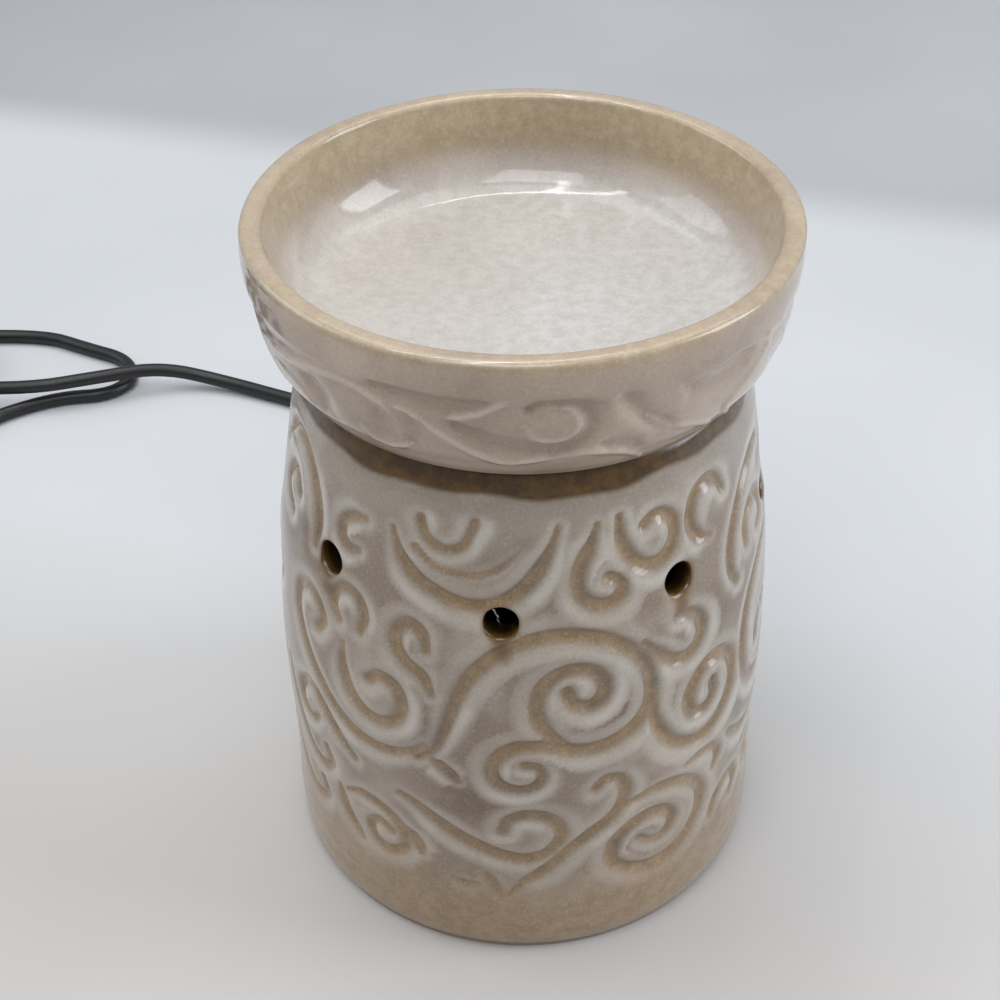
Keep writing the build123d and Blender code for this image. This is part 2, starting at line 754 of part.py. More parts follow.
def hank_edges():
    """The hank's centre line: upper layer inwards, one run that climbs down, lower layer outwards."""
    runs = hank_top_runs + 1 + hank_bottom_runs
    high = hank_floor_height + hank_layer_rise
    edges, headings = [], {}
    for run in range(runs):
        steps = abs(run - hank_top_runs)
        height = high if run < hank_top_runs else hank_floor_height
        first_quarter = 2 * run
        turn_in = hank_pitch / 4 * (1 if run < hank_top_runs else -1)
        middle = hank_pitch / 2 * steps
        before = middle + turn_in
        after = middle - turn_in
        if run == hank_top_runs:
            before = after = hank_pitch / 4
            middle = 0
        start_pair = hank_quarter(first_quarter, before, middle)
        end_pair = hank_quarter(first_quarter + 1, middle, after)
        pieces = [*start_pair, *end_pair]
        if run == 0:
            pieces = pieces[1:]
        if run == runs - 1:
            pieces = pieces[:-1]
        if run == hank_top_runs:
            level_fold, falling = pieces[0], pieces[1:3]
            edges.append(ThreePointArc(*[hank_point(p.X, p.Y, high) for p in level_fold]))
            begin, finish = hank_point(*_flat(falling[0][0]), high), hank_point(*_flat(falling[1][2]), hank_floor_height)
            lead_in = edges[-1] % 1
            fold = ThreePointArc(*[hank_point(p.X, p.Y, hank_floor_height) for p in pieces[3]])
            edges.extend(climb(begin, lead_in, finish, fold % 0))
            edges.append(fold)
            continue
        for piece in pieces:
            edges.append(ThreePointArc(*[hank_point(p.X, p.Y, height) for p in piece]))
    return edges


def _flat(point):
    return point.X, point.Y


def hank_path():
    """The whole centre line, with a straight end of one diameter at each end."""
    edges = hank_edges()
    first, last = edges[0], edges[-1]
    lead_in = Line(first @ 0 - (first % 0) * cord_diameter, first @ 0)
    lead_out = Line(last @ 1, last @ 1 + (last % 1) * cord_diameter)
    return [lead_in, *edges, lead_out]


def least_gap(edges):
    """Least distance between the surfaces of two turns, on points along the centre line."""
    step = cord_radius
    spots, travelled = [], []
    total = 0.0
    for edge in edges:
        count = max(2, round(edge.length / step))
        for i in range(count):
            spots.append(edge @ (i / count))
            travelled.append(total + edge.length * i / count)
        total += edge.length
    best = total
    for i, here in enumerate(spots):
        for j in range(i + 1, len(spots)):
            if travelled[j] - travelled[i] > 4 * cord_diameter:
                best = min(best, (here - spots[j]).length)
    return best - cord_diameter


hank = hank_path()
hank_start, hank_start_heading = hank[0] @ 0, hank[0] % 0
hank_end, hank_end_heading = hank[-1] @ 1, hank[-1] % 1
switch_axis = Vector(cos(radians(switch_turn)), sin(radians(switch_turn)), 0)
plug_axis = Vector(cos(radians(plug_turn)), sin(radians(plug_turn)), 0)
switch_mid = Vector(*switch_centre, switch_height / 2)
port = switch_length / 2 - switch_port_depth
plug_front = Vector(*plug_face, plug_height / 2)
plug_back = plug_front - plug_axis * (plug_length + plug_relief_length)

# Routes of the free stretches, chosen by hand
run_route = [
    (0.0, relief_tip, cord_axis_height),
    (0.0, 97.0, cord_axis_height),
    (-7.0, 123.0, 2.6),
    (-22.5, 145.0, floor_height),
    (-48.0, 161.5, floor_height),
    (-78.0, 174.0, floor_height),
    (-105.0, 185.5, 3.2),
    (-126.0, 186.0, 8.6),
    (-146.0, 178.5, 9.6),
    (-172.0, 171.5, 9.0),
    tuple(hank_start - hank_start_heading * hank_run_in),
    tuple(hank_start),
]
tail_route = [
    tuple(hank_end),
    tuple(hank_end + hank_end_heading * hank_run_out),
    (-176.0, 217.5, floor_height),
    (-156.0, 207.0, floor_height),
    (-141.5, 200.5, floor_height),
    (-136.5, 188.0, floor_height),
    (-143.5, 178.0, floor_height),
    (-161.0, 176.5, floor_height),
    (-181.0, 165.0, floor_height),
    (-190.0, 151.0, 3.6),
    tuple(switch_mid - switch_axis * (switch_length / 2 + switch_run)),
    tuple(switch_mid - switch_axis * port),
]
lead_route = [
    tuple(switch_mid + switch_axis * port),
    tuple(switch_mid + switch_axis * (switch_length / 2 + switch_run)),
    (-287.0, 115.0, 3.6),
    (-286.0, 97.0, 3.6),
    tuple(plug_back - plug_axis * plug_run),
    tuple(plug_back),
]


def cord_hank():
    """The wound hank, one unbroken tube along its arcs."""
    wire = Wire(hank)
    solid = tube(wire, cord_radius)
    print("hank length", round(wire.length, 1), "least gap", round(least_gap(hank), 2))
    print("hank volume over section times length", round(solid.volume / (pi * cord_radius**2 * wire.length), 4))
    return solid


def hank_frame(height):
    """The plane across the hank's waist, looking along the runs."""
    turn = radians(hank_turn)
    return Plane(hank_point(0, 0, height), x_dir=(-sin(turn), cos(turn), 0), z_dir=(cos(turn), sin(turn), 0))


def cord_tie():
    """Flat twist tie round the waist of the hank, with its twisted ends on top."""
    reach = hank_waist + cord_radius + tie_gap
    near = reach + hank_pitch / 2 * (hank_bottom_runs - 1)
    far = reach + hank_pitch / 2 * hank_bottom_runs
    low = hank_floor_height - cord_radius - tie_gap
    high = hank_floor_height + hank_layer_rise + cord_radius + tie_gap
    centre, width, tall = (far - near) / 2, far + near, high - low
    inner = Pos(centre, low + tall / 2) * RectangleRounded(width, tall, cord_radius)
    outer = offset(inner, tie_thickness)
    band = extrude(hank_frame(0) * (outer - inner), amount=tie_width / 2, both=True)
    foot = hank_point(0, centre, high + tie_thickness)
    top = hank_point(tie_tail_length, centre, high + tie_thickness + 2 * tie_tail_radius)
    twist = Plane(foot, z_dir=(top - foot).normalized()) * Cylinder(
        tie_tail_radius, tie_tail_length, align=(Align.CENTER, Align.CENTER, Align.MIN)
    )
    return band + twist


# Feed-through switch


switch_place = Plane(Vector(*switch_centre, 0), x_dir=switch_axis, z_dir=(0, 0, 1))


def switch_block():
    """Outer shape of both halves: a waisted bar, wider where it holds the wheel."""
    half, wide, narrow = switch_length / 2, switch_width / 2, switch_end_width / 2
    shoulder = half / 3
    side = Spline((-half, narrow), (-shoulder, wide), (shoulder, wide), (half, narrow), tangents=[(1, 0), (1, 0)])
    other = mirror(side, Plane.XZ)
    flat = make_face(side + Line(side @ 1, other @ 1) + other + Line(other @ 0, side @ 0))
    block = extrude(fillet(flat.vertices(), switch_corner), amount=switch_height)
    levels = block.edges().group_by(Axis.Z)
    return fillet(levels[0] + levels[-1], switch_edge)


def switch_inside():
    """Pockets for the wheel, the contacts and the two ends of the lead."""
    middle = switch_height / 2
    pocket = Cylinder(switch_wheel_radius + switch_pocket_gap, switch_wheel_thickness + switch_pocket_gap)
    inside = Pos(0, switch_wheel_offset, middle) * pocket
    for side in (-1, 1):
        bore = Plane((side * (switch_length / 2 + overrun), 0, middle), z_dir=(-side, 0, 0))
        inside += bore * Cylinder(
            cord_radius + seat_gap, switch_port_depth + overrun + seat_gap, align=(Align.CENTER, Align.CENTER, Align.MIN)
        )
        start = side * contact_start()
        chamber = Box(
            switch_contact_length + seat_gap, switch_contact_thickness + 2 * seat_gap, switch_contact_height + seat_gap
        )
        inside += Pos(start, 0, middle) * chamber
    return inside


def contact_start():
    """Middle of a contact, between the end of the lead and the wheel."""
    inner = sqrt((switch_wheel_radius + switch_pocket_gap) ** 2 - switch_wheel_offset**2)
    outer = switch_length / 2 - switch_port_depth
    return (inner + outer) / 2


def switch_axle():
    """Post for the wheel, moulded on the lower half and reaching into the upper one's pocket."""
    return Pos(0, switch_wheel_offset, switch_height / 2) * Cylinder(
        switch_axle_radius, switch_wheel_thickness + switch_pocket_gap
    )


def switch_screw_spot():
    x, y = switch_screw_place_shares
    return Pos(x * switch_length, y * switch_width, 0)


def switch_base():
    """Lower half, with the wheel's post and a counterbore for the screw."""
    half = split(switch_block(), Plane.XY.offset(switch_height / 2), keep=Keep.BOTTOM)
    bore = Cylinder(switch_screw_radius + seat_gap, switch_height)
    well = Cylinder(switch_screw_head_radius + seat_gap, 2 * (switch_screw_head + seat_gap))
    solid = half - switch_inside() + switch_axle() - switch_screw_spot() * (bore + well)
    return switch_place * solid


def switch_cover():
    """Upper half, with a blind hole for the screw."""
    half = split(switch_block(), Plane.XY.offset(switch_height / 2), keep=Keep.TOP)
    reach = switch_screw_head + switch_screw_length + 2 * seat_gap
    bore = Cylinder(switch_screw_radius + seat_gap, reach, align=(Align.CENTER, Align.CENTER, Align.MIN))
    return switch_place * (half - switch_inside() - switch_screw_spot() * bore)


def switch_screw():
    one = screw(switch_screw_radius, switch_screw_length, switch_screw_head_radius, switch_screw_head)
    return switch_place * switch_screw_spot() * Pos(0, 0, switch_screw_head + seat_gap) * Rot(180, 0, 0) * one


def switch_wheel():
    """Thumb wheel with a ribbed rim, turning on the post."""
    disc = Circle(switch_wheel_radius - switch_wheel_rib_depth)
    pitch = 360 / switch_wheel_ribs
    width = 2 * pi * switch_wheel_radius / switch_wheel_ribs / 2
    rib = Pos(switch_wheel_radius - switch_wheel_rib_depth) * Rectangle(2 * switch_wheel_rib_depth, width)
    flat = Sketch() + [disc] + [Rot(0, 0, pitch * i) * rib for i in range(switch_wheel_ribs)]
    wheel = extrude(flat, amount=switch_wheel_thickness / 2, both=True)
    wheel -= Cylinder(switch_axle_radius + axle_gap, 2 * switch_wheel_thickness)
    return switch_place * Pos(0, switch_wheel_offset, switch_height / 2) * wheel


def switch_contacts():
    """Two brass contact strips."""
    strip = Box(switch_contact_length, switch_contact_thickness, switch_contact_height)
    spots = [Pos(side * contact_start(), 0, switch_height / 2) for side in (-1, 1)]
    return Compound(children=[switch_place * spot * strip for spot in spots])


# Plug


plug_place = Plane(plug_front, x_dir=(-sin(radians(plug_turn)), cos(radians(plug_turn)), 0), z_dir=plug_axis)


def plug_body():
    """Moulded plug: a lofted grip that narrows towards the lead and a tapered strain relief."""
    front = RectangleRounded(plug_width, plug_height, plug_edge)
    back = RectangleRounded(plug_width * plug_back_share, plug_height * plug_back_share, plug_edge)
    grip = loft([front, Pos(0, 0, -plug_length) * back])
    taper = Cone(plug_relief_root, plug_relief_tip, plug_relief_length, align=(Align.CENTER, Align.CENTER, Align.MIN))
    solid = grip + Pos(0, 0, -plug_length) * Rot(180, 0, 0) * taper
    for side in (-1, 1):
        solid -= Pos(side * blade_spacing / 2) * Box(
            blade_thickness + 2 * seat_gap, blade_width + 2 * seat_gap, 2 * (blade_root + seat_gap)
        )
    return plug_place * solid


def plug_blades():
    """Two flat blades, each with its hole."""
    blades = []
    for side in (-1, 1):
        blade = Box(blade_thickness, blade_width, blade_root + blade_length, align=(Align.CENTER, Align.CENTER, Align.MIN))
        blade = chamfer(blade.edges().filter_by(Axis.X).group_by(Axis.Z)[-1], blade_thickness / 2)
        hole = Plane((0, 0, blade_root + blade_length * blade_hole_share), z_dir=(1, 0, 0)) * Cylinder(blade_hole_radius, 2 * blade_thickness)
        blades.append(plug_place * Pos(side * blade_spacing / 2, 0, -blade_root) * (blade - hole))
    return Compound(children=blades)


parts = {
    "ceramic_body": ceramic_body(),
    "foot_felt": foot_felt(),
    "wax_dish": wax_dish(),
    "base_plate": base_plate(),
    "base_sealant": base_sealant(),
    "plate_grommet": plate_grommet(),
    "lamp_holder": lamp_holder(),
    "screw_shell": screw_shell(),
    "centre_contact": centre_contact(),
    "holder_screws": holder_screws(),
    "holder_nuts": holder_nuts(),
    "terminal_screws": terminal_screws(),
    "bulb_envelope": bulb_envelope(),
    "bulb_cap": bulb_cap(),
    "bulb_insulator": bulb_insulator(),
    "bulb_contact": bulb_contact(),
    "bulb_stem": bulb_stem(),
    "bulb_leads": bulb_leads(),
    "bulb_filament": bulb_filament(),
    "strain_relief": strain_relief(),
    "inner_cord": inner_cord(),
    "inner_leads": inner_leads(),
    "cord_run": lead("cord_run", run_route),
    "cord_hank": cord_hank(),
    "cord_tie": cord_tie(),
    "cord_tail": lead("cord_tail", tail_route),
    "switch_base": switch_base(),
    "switch_cover": switch_cover(),
    "switch_screw": switch_screw(),
    "switch_wheel": switch_wheel(),
    "switch_contacts": switch_contacts(),
    "cord_lead": lead("cord_lead", lead_route),
    "plug_body": plug_body(),
    "plug_blades": plug_blades(),
}

for name, solid in parts.items():
    export_step(solid, f"parts/{name}.step")
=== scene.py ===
"""Looks of an electric wax melt warmer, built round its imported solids.

Slip-cast stoneware body and dish with incised scrolls under a mottled gloss glaze, a clear globe
bulb on a phenolic holder, and a black two-core mains lead with its spare length tied in a hank.
Metres, +Z up, the front towards -Y. Shapes are worked out in millimetres and scaled once.
"""

import bpy
import numpy as np
from mathutils import Matrix, Vector


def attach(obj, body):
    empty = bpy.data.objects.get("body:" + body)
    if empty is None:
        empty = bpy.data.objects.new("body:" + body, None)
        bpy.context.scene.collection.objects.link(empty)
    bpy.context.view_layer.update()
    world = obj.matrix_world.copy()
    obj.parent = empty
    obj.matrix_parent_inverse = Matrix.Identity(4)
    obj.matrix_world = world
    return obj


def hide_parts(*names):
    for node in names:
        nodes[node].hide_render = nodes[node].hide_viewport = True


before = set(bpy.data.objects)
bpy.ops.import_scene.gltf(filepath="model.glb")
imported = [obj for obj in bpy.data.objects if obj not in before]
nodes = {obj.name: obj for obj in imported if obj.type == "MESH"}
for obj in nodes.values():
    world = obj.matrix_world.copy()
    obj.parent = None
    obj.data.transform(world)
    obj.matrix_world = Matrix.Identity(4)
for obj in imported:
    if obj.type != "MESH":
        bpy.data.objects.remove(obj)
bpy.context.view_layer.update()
MM = 0.001


def show(name, data):
    """A new object with this data, linked into the scene."""
    thing = bpy.data.objects.new(name, data)
    bpy.context.scene.collection.objects.link(thing)
    return thing


# Camera: a 65 mm lens close by, looking 38 degrees down

LENS_MM, SENSOR_MM = 64.8, 36.0
CAMERA_PLACE = (0, -0.3372, 0.35586)
CAMERA_TURNS = (-0.016, 0.660, -0.011)  # yaw, pitch and roll in radians


def place_camera():
    """Right, up and forward axes from a small yaw, a pitch and a small roll."""
    yaw, pitch, roll = CAMERA_TURNS
    right = Vector((np.cos(yaw), -np.sin(yaw), 0))
    forward = Vector((np.sin(yaw) * np.cos(pitch), np.cos(yaw) * np.cos(pitch), -np.sin(pitch)))
    up = right.cross(forward)
    across = right * np.cos(roll) + up * np.sin(roll)
    upright = up * np.cos(roll) - right * np.sin(roll)
    data = bpy.data.cameras.new("camera")
    data.lens, data.sensor_width = LENS_MM, SENSOR_MM
    data.clip_start, data.clip_end = 0.02, 20
    axes = Matrix((across, upright, -forward)).transposed().to_4x4()
    camera = show("camera", data)
    camera.matrix_world = Matrix.Translation(CAMERA_PLACE) @ axes
    bpy.context.scene.camera = camera


place_camera()


# Materials


def linear(code):
    """An sRGB hex colour as linear red, green and blue, with a full alpha."""
    srgb = [int(code[i : i + 2], 16) / 255 for i in (1, 3, 5)]
    return [v / 12.92 if v <= 0.04045 else ((v + 0.055) / 1.055) ** 2.4 for v in srgb] + [1.0]


# Places of the colour sockets on a Mix node, and the setting that eases a Map Range node
MIX_FIRST, MIX_SECOND, MIX_OUT = 6, 7, 2
EASED = {"interpolation_type": "SMOOTHSTEP"}


def fill(tree, node, inputs):
    """Set sockets by name or in order, each to a value, a hex colour, a node or its output."""
    for key, value in inputs.items() if isinstance(inputs, dict) else enumerate(inputs):
        socket = node.inputs[key]
        if isinstance(value, bpy.types.Node):
            value = value.outputs[0]
        if isinstance(value, bpy.types.NodeSocket):
            tree.links.new(value, socket)
        else:
            socket.default_value = linear(value) if isinstance(value, str) else value


def add(tree, kind, inputs=(), stops=(), ease=False, **settings):
    """Add a node with its settings, its links, and colour stops as (position, hex colour)."""
    node = tree.nodes.new("ShaderNode" + kind)
    for key, value in settings.items():
        setattr(node, key, value)
    fill(tree, node, inputs)
    if stops:
        bar = node.color_ramp
        bar.interpolation = "EASE" if ease else "LINEAR"
        while len(bar.elements) < len(stops):
            bar.elements.new(1.0)
        for element, (place, code) in zip(bar.elements, stops):
            element.position = place
            element.color = linear(code)
    return node


def start(name):
    """A new material with its tree, Principled shader, and object coordinates."""
    material = bpy.data.materials.new(name)
    material.use_nodes = True
    tree = material.node_tree
    tree.nodes.clear()
    output = add(tree, "OutputMaterial")
    shader = add(tree, "BsdfPrincipled")
    fill(tree, output, {"Surface": shader})
    return material, tree, shader, add(tree, "TexCoord").outputs["Object"]


def over(tree, colour, tone, mask, low=None, high=None, most=1.0, blend="MIX"):
    """Lay a tone over a colour by a mask, which is eased from low to high where these are given."""
    if low is not None:
        mask = add(tree, "MapRange", [mask, low, high, 0, most], **EASED)
    inputs = {"Factor": mask, MIX_FIRST: colour, MIX_SECOND: tone}
    return add(tree, "Mix", inputs, data_type="RGBA", blend_type=blend).outputs[MIX_OUT]


# Glaze: the size in millimetres, detail and roughness of its clouds, mottling and crystals, the
# depth in millimetres of its waves, and the tones that it takes in the bowl and on the top ring
GLAZE_GRAINS = [(24, 3, 0.55), (3.0, 4, 0.62), (0.7, 2, 0.6)]
GLAZE_WAVE = 0.25
POOLED_TONES, RING_TONES = ("#bab8b4", "#c9c8c6"), ("#402a06", "#604414")


def glazed_stoneware(name, gloss, ground, halo_and_light_tone, tan_and_shade_tones, thin_tones):
    """Buff stoneware under a mottled gloss glaze, fired to break where it runs thin.

    The glaze pools grey-white on the flats, stands whiter in a halo beside each cut, and lets the
    tan body show on the floors of the cuts, on sharp edges and in the plain foot. The halo also
    carries painted light and the tan painted shade: lighter on the lit side of each cut and darker
    on its shaded side, lighter near the body's top, and on the dish a painted highlight on raised
    lines and painted shade in hollows. It is brown on the top ring, and the bores of the vents are
    painted near black as shade. A clear coat over a duller base stands for the glass of the glaze
    over its opaque, crystalline depth.
    """
    material, tree, shader, place = start(name)
    # The cut and halo masks carry glaze colour and also painted shade and painted light; the bore mask is
    # painted shade.
    keys = ("tan_and_shade", "halo_and_light", "thin", "ring", "pool", "bore_shade")
    masks = [add(tree, "Attribute", attribute_name=key).outputs["Fac"] for key in keys]
    tan_and_shade, halo_and_light, thin, ring, pool, bore_shade = masks
    cloud, mottle, fleck = (
        add(tree, "TexNoise", {"Vector": place, "Scale": 1000 / size, "Detail": detail, "Roughness": rough})
        for size, detail, rough in GLAZE_GRAINS
    )
    ragged = add(tree, "Math", [mottle, 0.5], operation="SUBTRACT")

    def scaled(mask, share):
        """A mask times a number or another mask."""
        return add(tree, "Math", [mask, share], operation="MULTIPLY")

    def torn(mask, share):
        """A mask whose edge is torn by a share of the mottling."""
        return add(tree, "Math", [mask, scaled(ragged, share)], operation="ADD")

    def mottled(tones):
        """Two tones that ease into each other with the mottling."""
        return add(tree, "ValToRGB", [mottle], list(zip((0.3, 0.7), tones)), ease=True)

    colour = add(tree, "ValToRGB", [cloud], list(zip((0.3, 0.5, 0.7), ground)), ease=True)
    colour = over(tree, colour, ground[0], mottle, 0.52, 0.78, 0.3)
    # Halo: whiter pooled glaze, plus painted light on the lit side of the cuts, near the body's top, and on
    # the dish's raised lines.
    milky_and_lit = scaled(halo_and_light, add(tree, "MapRange", [cloud, 0.42, 0.62, 0.72, 0.4], **EASED))
    colour = over(tree, colour, halo_and_light_tone, milky_and_lit)
    # Cut tan: thin glaze on the cut floors, plus painted shade on their shaded side and in the dish's
    # hollows.
    clouded_tan_and_shade = scaled(tan_and_shade, add(tree, "MapRange", [cloud, 0.36, 0.56, 0.62, 1.0], **EASED))
    colour = over(tree, colour, mottled(tan_and_shade_tones), torn(clouded_tan_and_shade, 0.4), 0.15, 0.95, 0.9)
    pooled = over(tree, mottled(POOLED_TONES), "#d9d8d5", fleck, 0.6, 0.75, 0.3)
    colour = over(tree, colour, pooled, pool)
    colour = over(tree, colour, mottled(thin_tones), torn(thin, 0.35), 0.05, 0.95, 0.95)
    colour = over(tree, colour, "#dedad3", fleck, 0.5, 0.8, 0.17)
    colour = over(tree, colour, "#5f5244", fleck, 0.48, 0.25, 0.13)
    colour = over(tree, colour, mottled(RING_TONES), torn(ring, 0.4), 0.1, 0.7)
    # Painted shade: the bores of the vents darkened to near black.
    colour = over(tree, colour, "#0c0805", scaled(bore_shade, 0.85))
    relief = add(tree, "Math", [cloud, scaled(mottle, 0.12)], operation="ADD")
    normal = add(tree, "Bump", {"Strength": 0.5, "Distance": GLAZE_WAVE * MM, "Height": relief})
    fill(tree, shader, {
        "Base Color": colour,
        "Roughness": add(tree, "MapRange", [fleck, 0.3, 0.8, 0.36, 0.52], **EASED),
        "Specular IOR Level": 0.15,
        "Coat Weight": 1.0,
        "Coat Roughness": gloss,
        "Coat IOR": 1.52,
        "Normal": normal,
        "Coat Normal": normal,
    })
    return material


def plain(name, code, second, size_mm, rough, metallic=0.0, depth_mm=0.05):
    """One finish mottled between two near tones, with a fine matching grain."""
    material, tree, shader, place = start(name)
    grain = add(tree, "TexNoise", {"Vector": place, "Scale": 1000 / size_mm, "Detail": 3, "Roughness": 0.6})
    fill(tree, shader, {
        "Base Color": add(tree, "ValToRGB", [grain], [(0.35, code), (0.65, second)]),
        "Roughness": add(tree, "MapRange", [grain, 0.3, 0.7, rough * 0.85, rough * 1.15], **EASED),
        "Metallic": metallic,
        "Normal": add(tree, "Bump", {"Strength": 0.4, "Distance": depth_mm * MM, "Height": grain}),
    })
    return material


def blown_glass(name, tint):
    """Clear soda glass of the bulb, faintly uneven from blowing: waves about 14 mm long."""
    material, tree, shader, place = start(name)
    slow = add(tree, "TexNoise", {"Vector": place, "Scale": 1000 / 14, "Detail": 1, "Roughness": 0.5})
    fill(tree, shader, {
        "Base Color": tint,
        "Roughness": 0.02,
        "IOR": 1.5,
        "Transmission Weight": 1.0,
        "Normal": add(tree, "Bump", {"Strength": 0.2, "Distance": 0.1 * MM, "Height": slow}),
    })
    return material


# A glassy coat over a milky, mottled layer: crisp highlights on soft shading. The body's is a
# little duller, and the dish's pools white on the floor of its bowl. The halo and cut tones also
# paint light and shade: on the body a whiter lit side and a darker shaded side to each cut, on the
# dish a painted highlight on the raised lines and painted shade in the hollows.
GLAZE_BODY = glazed_stoneware(
    "mottled gloss glaze with painted light and shade",
    gloss=0.2,
    ground=("#71604f", "#877868", "#a2978a"),
    halo_and_light_tone="#cdc8bf",
    tan_and_shade_tones=("#846a48", "#9a8261"),
    thin_tones=("#92795b", "#a28a6b"),
)
GLAZE_DISH = glazed_stoneware(
    "pooled gloss glaze with painted light and shade",
    gloss=0.1,
    ground=("#9a897a", "#aa998a", "#b7a898"),
    halo_and_light_tone="#d1c7bc",
    tan_and_shade_tones=("#73604c", "#806c5a"),
    thin_tones=("#a8967a", "#b6a68a"),
)
# Extruded PVC: soft satin skin with a faint drag along the lead
PVC = plain("extruded black PVC", "#0d0d0e", "#141415", 1.2, 0.42, depth_mm=0.03)
# Injection-moulded plastic with a fine spark-eroded texture, drawn twice as coarse to show
MOULDED = plain("textured black moulded plastic", "#131314", "#1c1c1d", 0.5, 0.5, depth_mm=0.08)
# Overmoulded plug and strain relief: matt and slightly soft
OVERMOULD = plain("overmoulded black PVC", "#101011", "#171718", 0.8, 0.55, depth_mm=0.04)
# Phenolic moulding: dark brown-black with a low gloss
PHENOLIC = plain("moulded phenolic", "#1a1310", "#241b16", 1.0, 0.35, depth_mm=0.02)
# Zinc plating: bright grey, with a soft spangle on rolled sheet and a finer one on turned screws
ZINC = plain("zinc-plated sheet steel", "#a7a9aa", "#bcbebf", 4.0, 0.32, 1.0, 0.02)
SCREW_STEEL = plain("zinc-plated screw steel", "#9fa0a1", "#b3b4b5", 1.5, 0.35, 1.0, 0.02)
# Stamped brass: warm yellow, rolled smooth, and paler and brighter under the cap's nickel
BRASS = plain("stamped brass", "#b4924d", "#c6a55e", 2.0, 0.3, 1.0, 0.02)
NICKEL = plain("nickel-plated brass", "#b9b5ab", "#cbc7bd", 2.0, 0.22, 1.0, 0.02)
# Solder left as it froze: dull grey with small uneven grains
SOLDER = plain("dull tin solder", "#8f9091", "#a4a5a6", 0.9, 0.45, 1.0, 0.05)
# Vitrite: black glass run in hot, so it is glossy
VITRITE = plain("black vitrite glass", "#08080a", "#101013", 1.5, 0.12, depth_mm=0.01)
# Drawn wires: dark for the filament, mid grey for its supports
TUNGSTEN = plain("drawn tungsten wire", "#3a3b3e", "#4a4b4e", 0.4, 0.4, 1.0, 0.02)
SUPPORT_WIRE = plain("drawn nickel wire", "#7d7d7c", "#929291", 0.6, 0.35, 1.0, 0.02)
# Moulded rubber: black with no shine
RUBBER = plain("matt black rubber", "#111111", "#191919", 0.8, 0.7, depth_mm=0.05)
# Pressed wool: pale, fully rough, with a nap of about a third of a millimetre
FELT = plain("pressed wool felt", "#8b8175", "#9c9286", 0.35, 0.95, depth_mm=0.25)
# Silicone bead: milky, with the soft sheen of a wiped surface
SILICONE = plain("translucent silicone", "#b9b8b3", "#c8c7c3", 1.5, 0.45, depth_mm=0.05)
# Blown glass is clear with slow waves, and the pressed stem has the green of a thicker piece
CLEAR_GLASS = blown_glass("clear blown glass", "#fbfcfc")
STEM_GLASS = blown_glass("pressed stem glass", "#f1f4f2")

# Which pieces of the solid are shown with which finish
WORN_BY = [
    (FELT, "foot_felt"),
    (ZINC, "base_plate"),
    (SILICONE, "base_sealant"),
    (RUBBER, "plate_grommet"),
    (PHENOLIC, "lamp_holder"),
    (BRASS, "screw_shell centre_contact terminal_screws switch_contacts plug_blades"),
    (SCREW_STEEL, "holder_screws holder_nuts switch_screw"),
    (CLEAR_GLASS, "bulb_envelope"),
    (NICKEL, "bulb_cap"),
    (VITRITE, "bulb_insulator"),
    (SOLDER, "bulb_contact"),
    (STEM_GLASS, "bulb_stem"),
    (SUPPORT_WIRE, "bulb_leads"),
    (TUNGSTEN, "bulb_filament"),
    (OVERMOULD, "strain_relief plug_body"),
    (PVC, "inner_cord inner_leads"),
    (MOULDED, "switch_base switch_cover switch_wheel"),
]
for material, names in WORN_BY:
    for name in names.split():
        data = nodes[name].data
        data.materials.clear()
        data.materials.append(material)


# Surfaces on grids


def smooth_line(places, knots, values):
    """Cubic through (knot, value) pairs with slopes from the neighbours, at many places."""
    knots, values = np.asarray(knots, float), np.asarray(values, float)
    slopes = np.gradient(values, knots, axis=0)
    i = np.clip(np.searchsorted(knots, places) - 1, 0, len(knots) - 2)
    step = knots[i + 1] - knots[i]
    t = (places - knots[i]) / step
    if values.ndim == 2:
        t, step = t[:, None], step[:, None]
    return (
        (2 * t**3 - 3 * t**2 + 1) * values[i]
        + (t**3 - 2 * t**2 + t) * step * slopes[i]
        + (3 * t**2 - 2 * t**3) * values[i + 1]
        + (t**3 - t**2) * step * slopes[i + 1]
    )


def soft(value, low, high):
    """Smooth step from 0 at low to 1 at high."""
    t = np.clip((value - low) / (high - low), 0, 1)
    return t * t * (3 - 2 * t)


def waves(azimuth, *parts):
    """Sum of slow waves round a piece, each its height, its number round, and its phase."""
    return sum(size * np.sin(np.radians(azimuth * count + phase)) for size, count, phase in parts)


def grid_quads(rows, columns, wrap_rows, wrap_columns):
    """Quads of a grid of rows by columns whose points are numbered row by row."""
    i = np.arange(rows if wrap_rows else rows - 1)
    j = np.arange(columns if wrap_columns else columns - 1)
    i, j = np.meshgrid(i, j, indexing="ij")
    up, right = (i + 1) % rows, (j + 1) % columns
    quads = np.stack([i * columns + j, i * columns + right, up * columns + right, up * columns + j], -1)
    return quads.reshape(-1, 4)


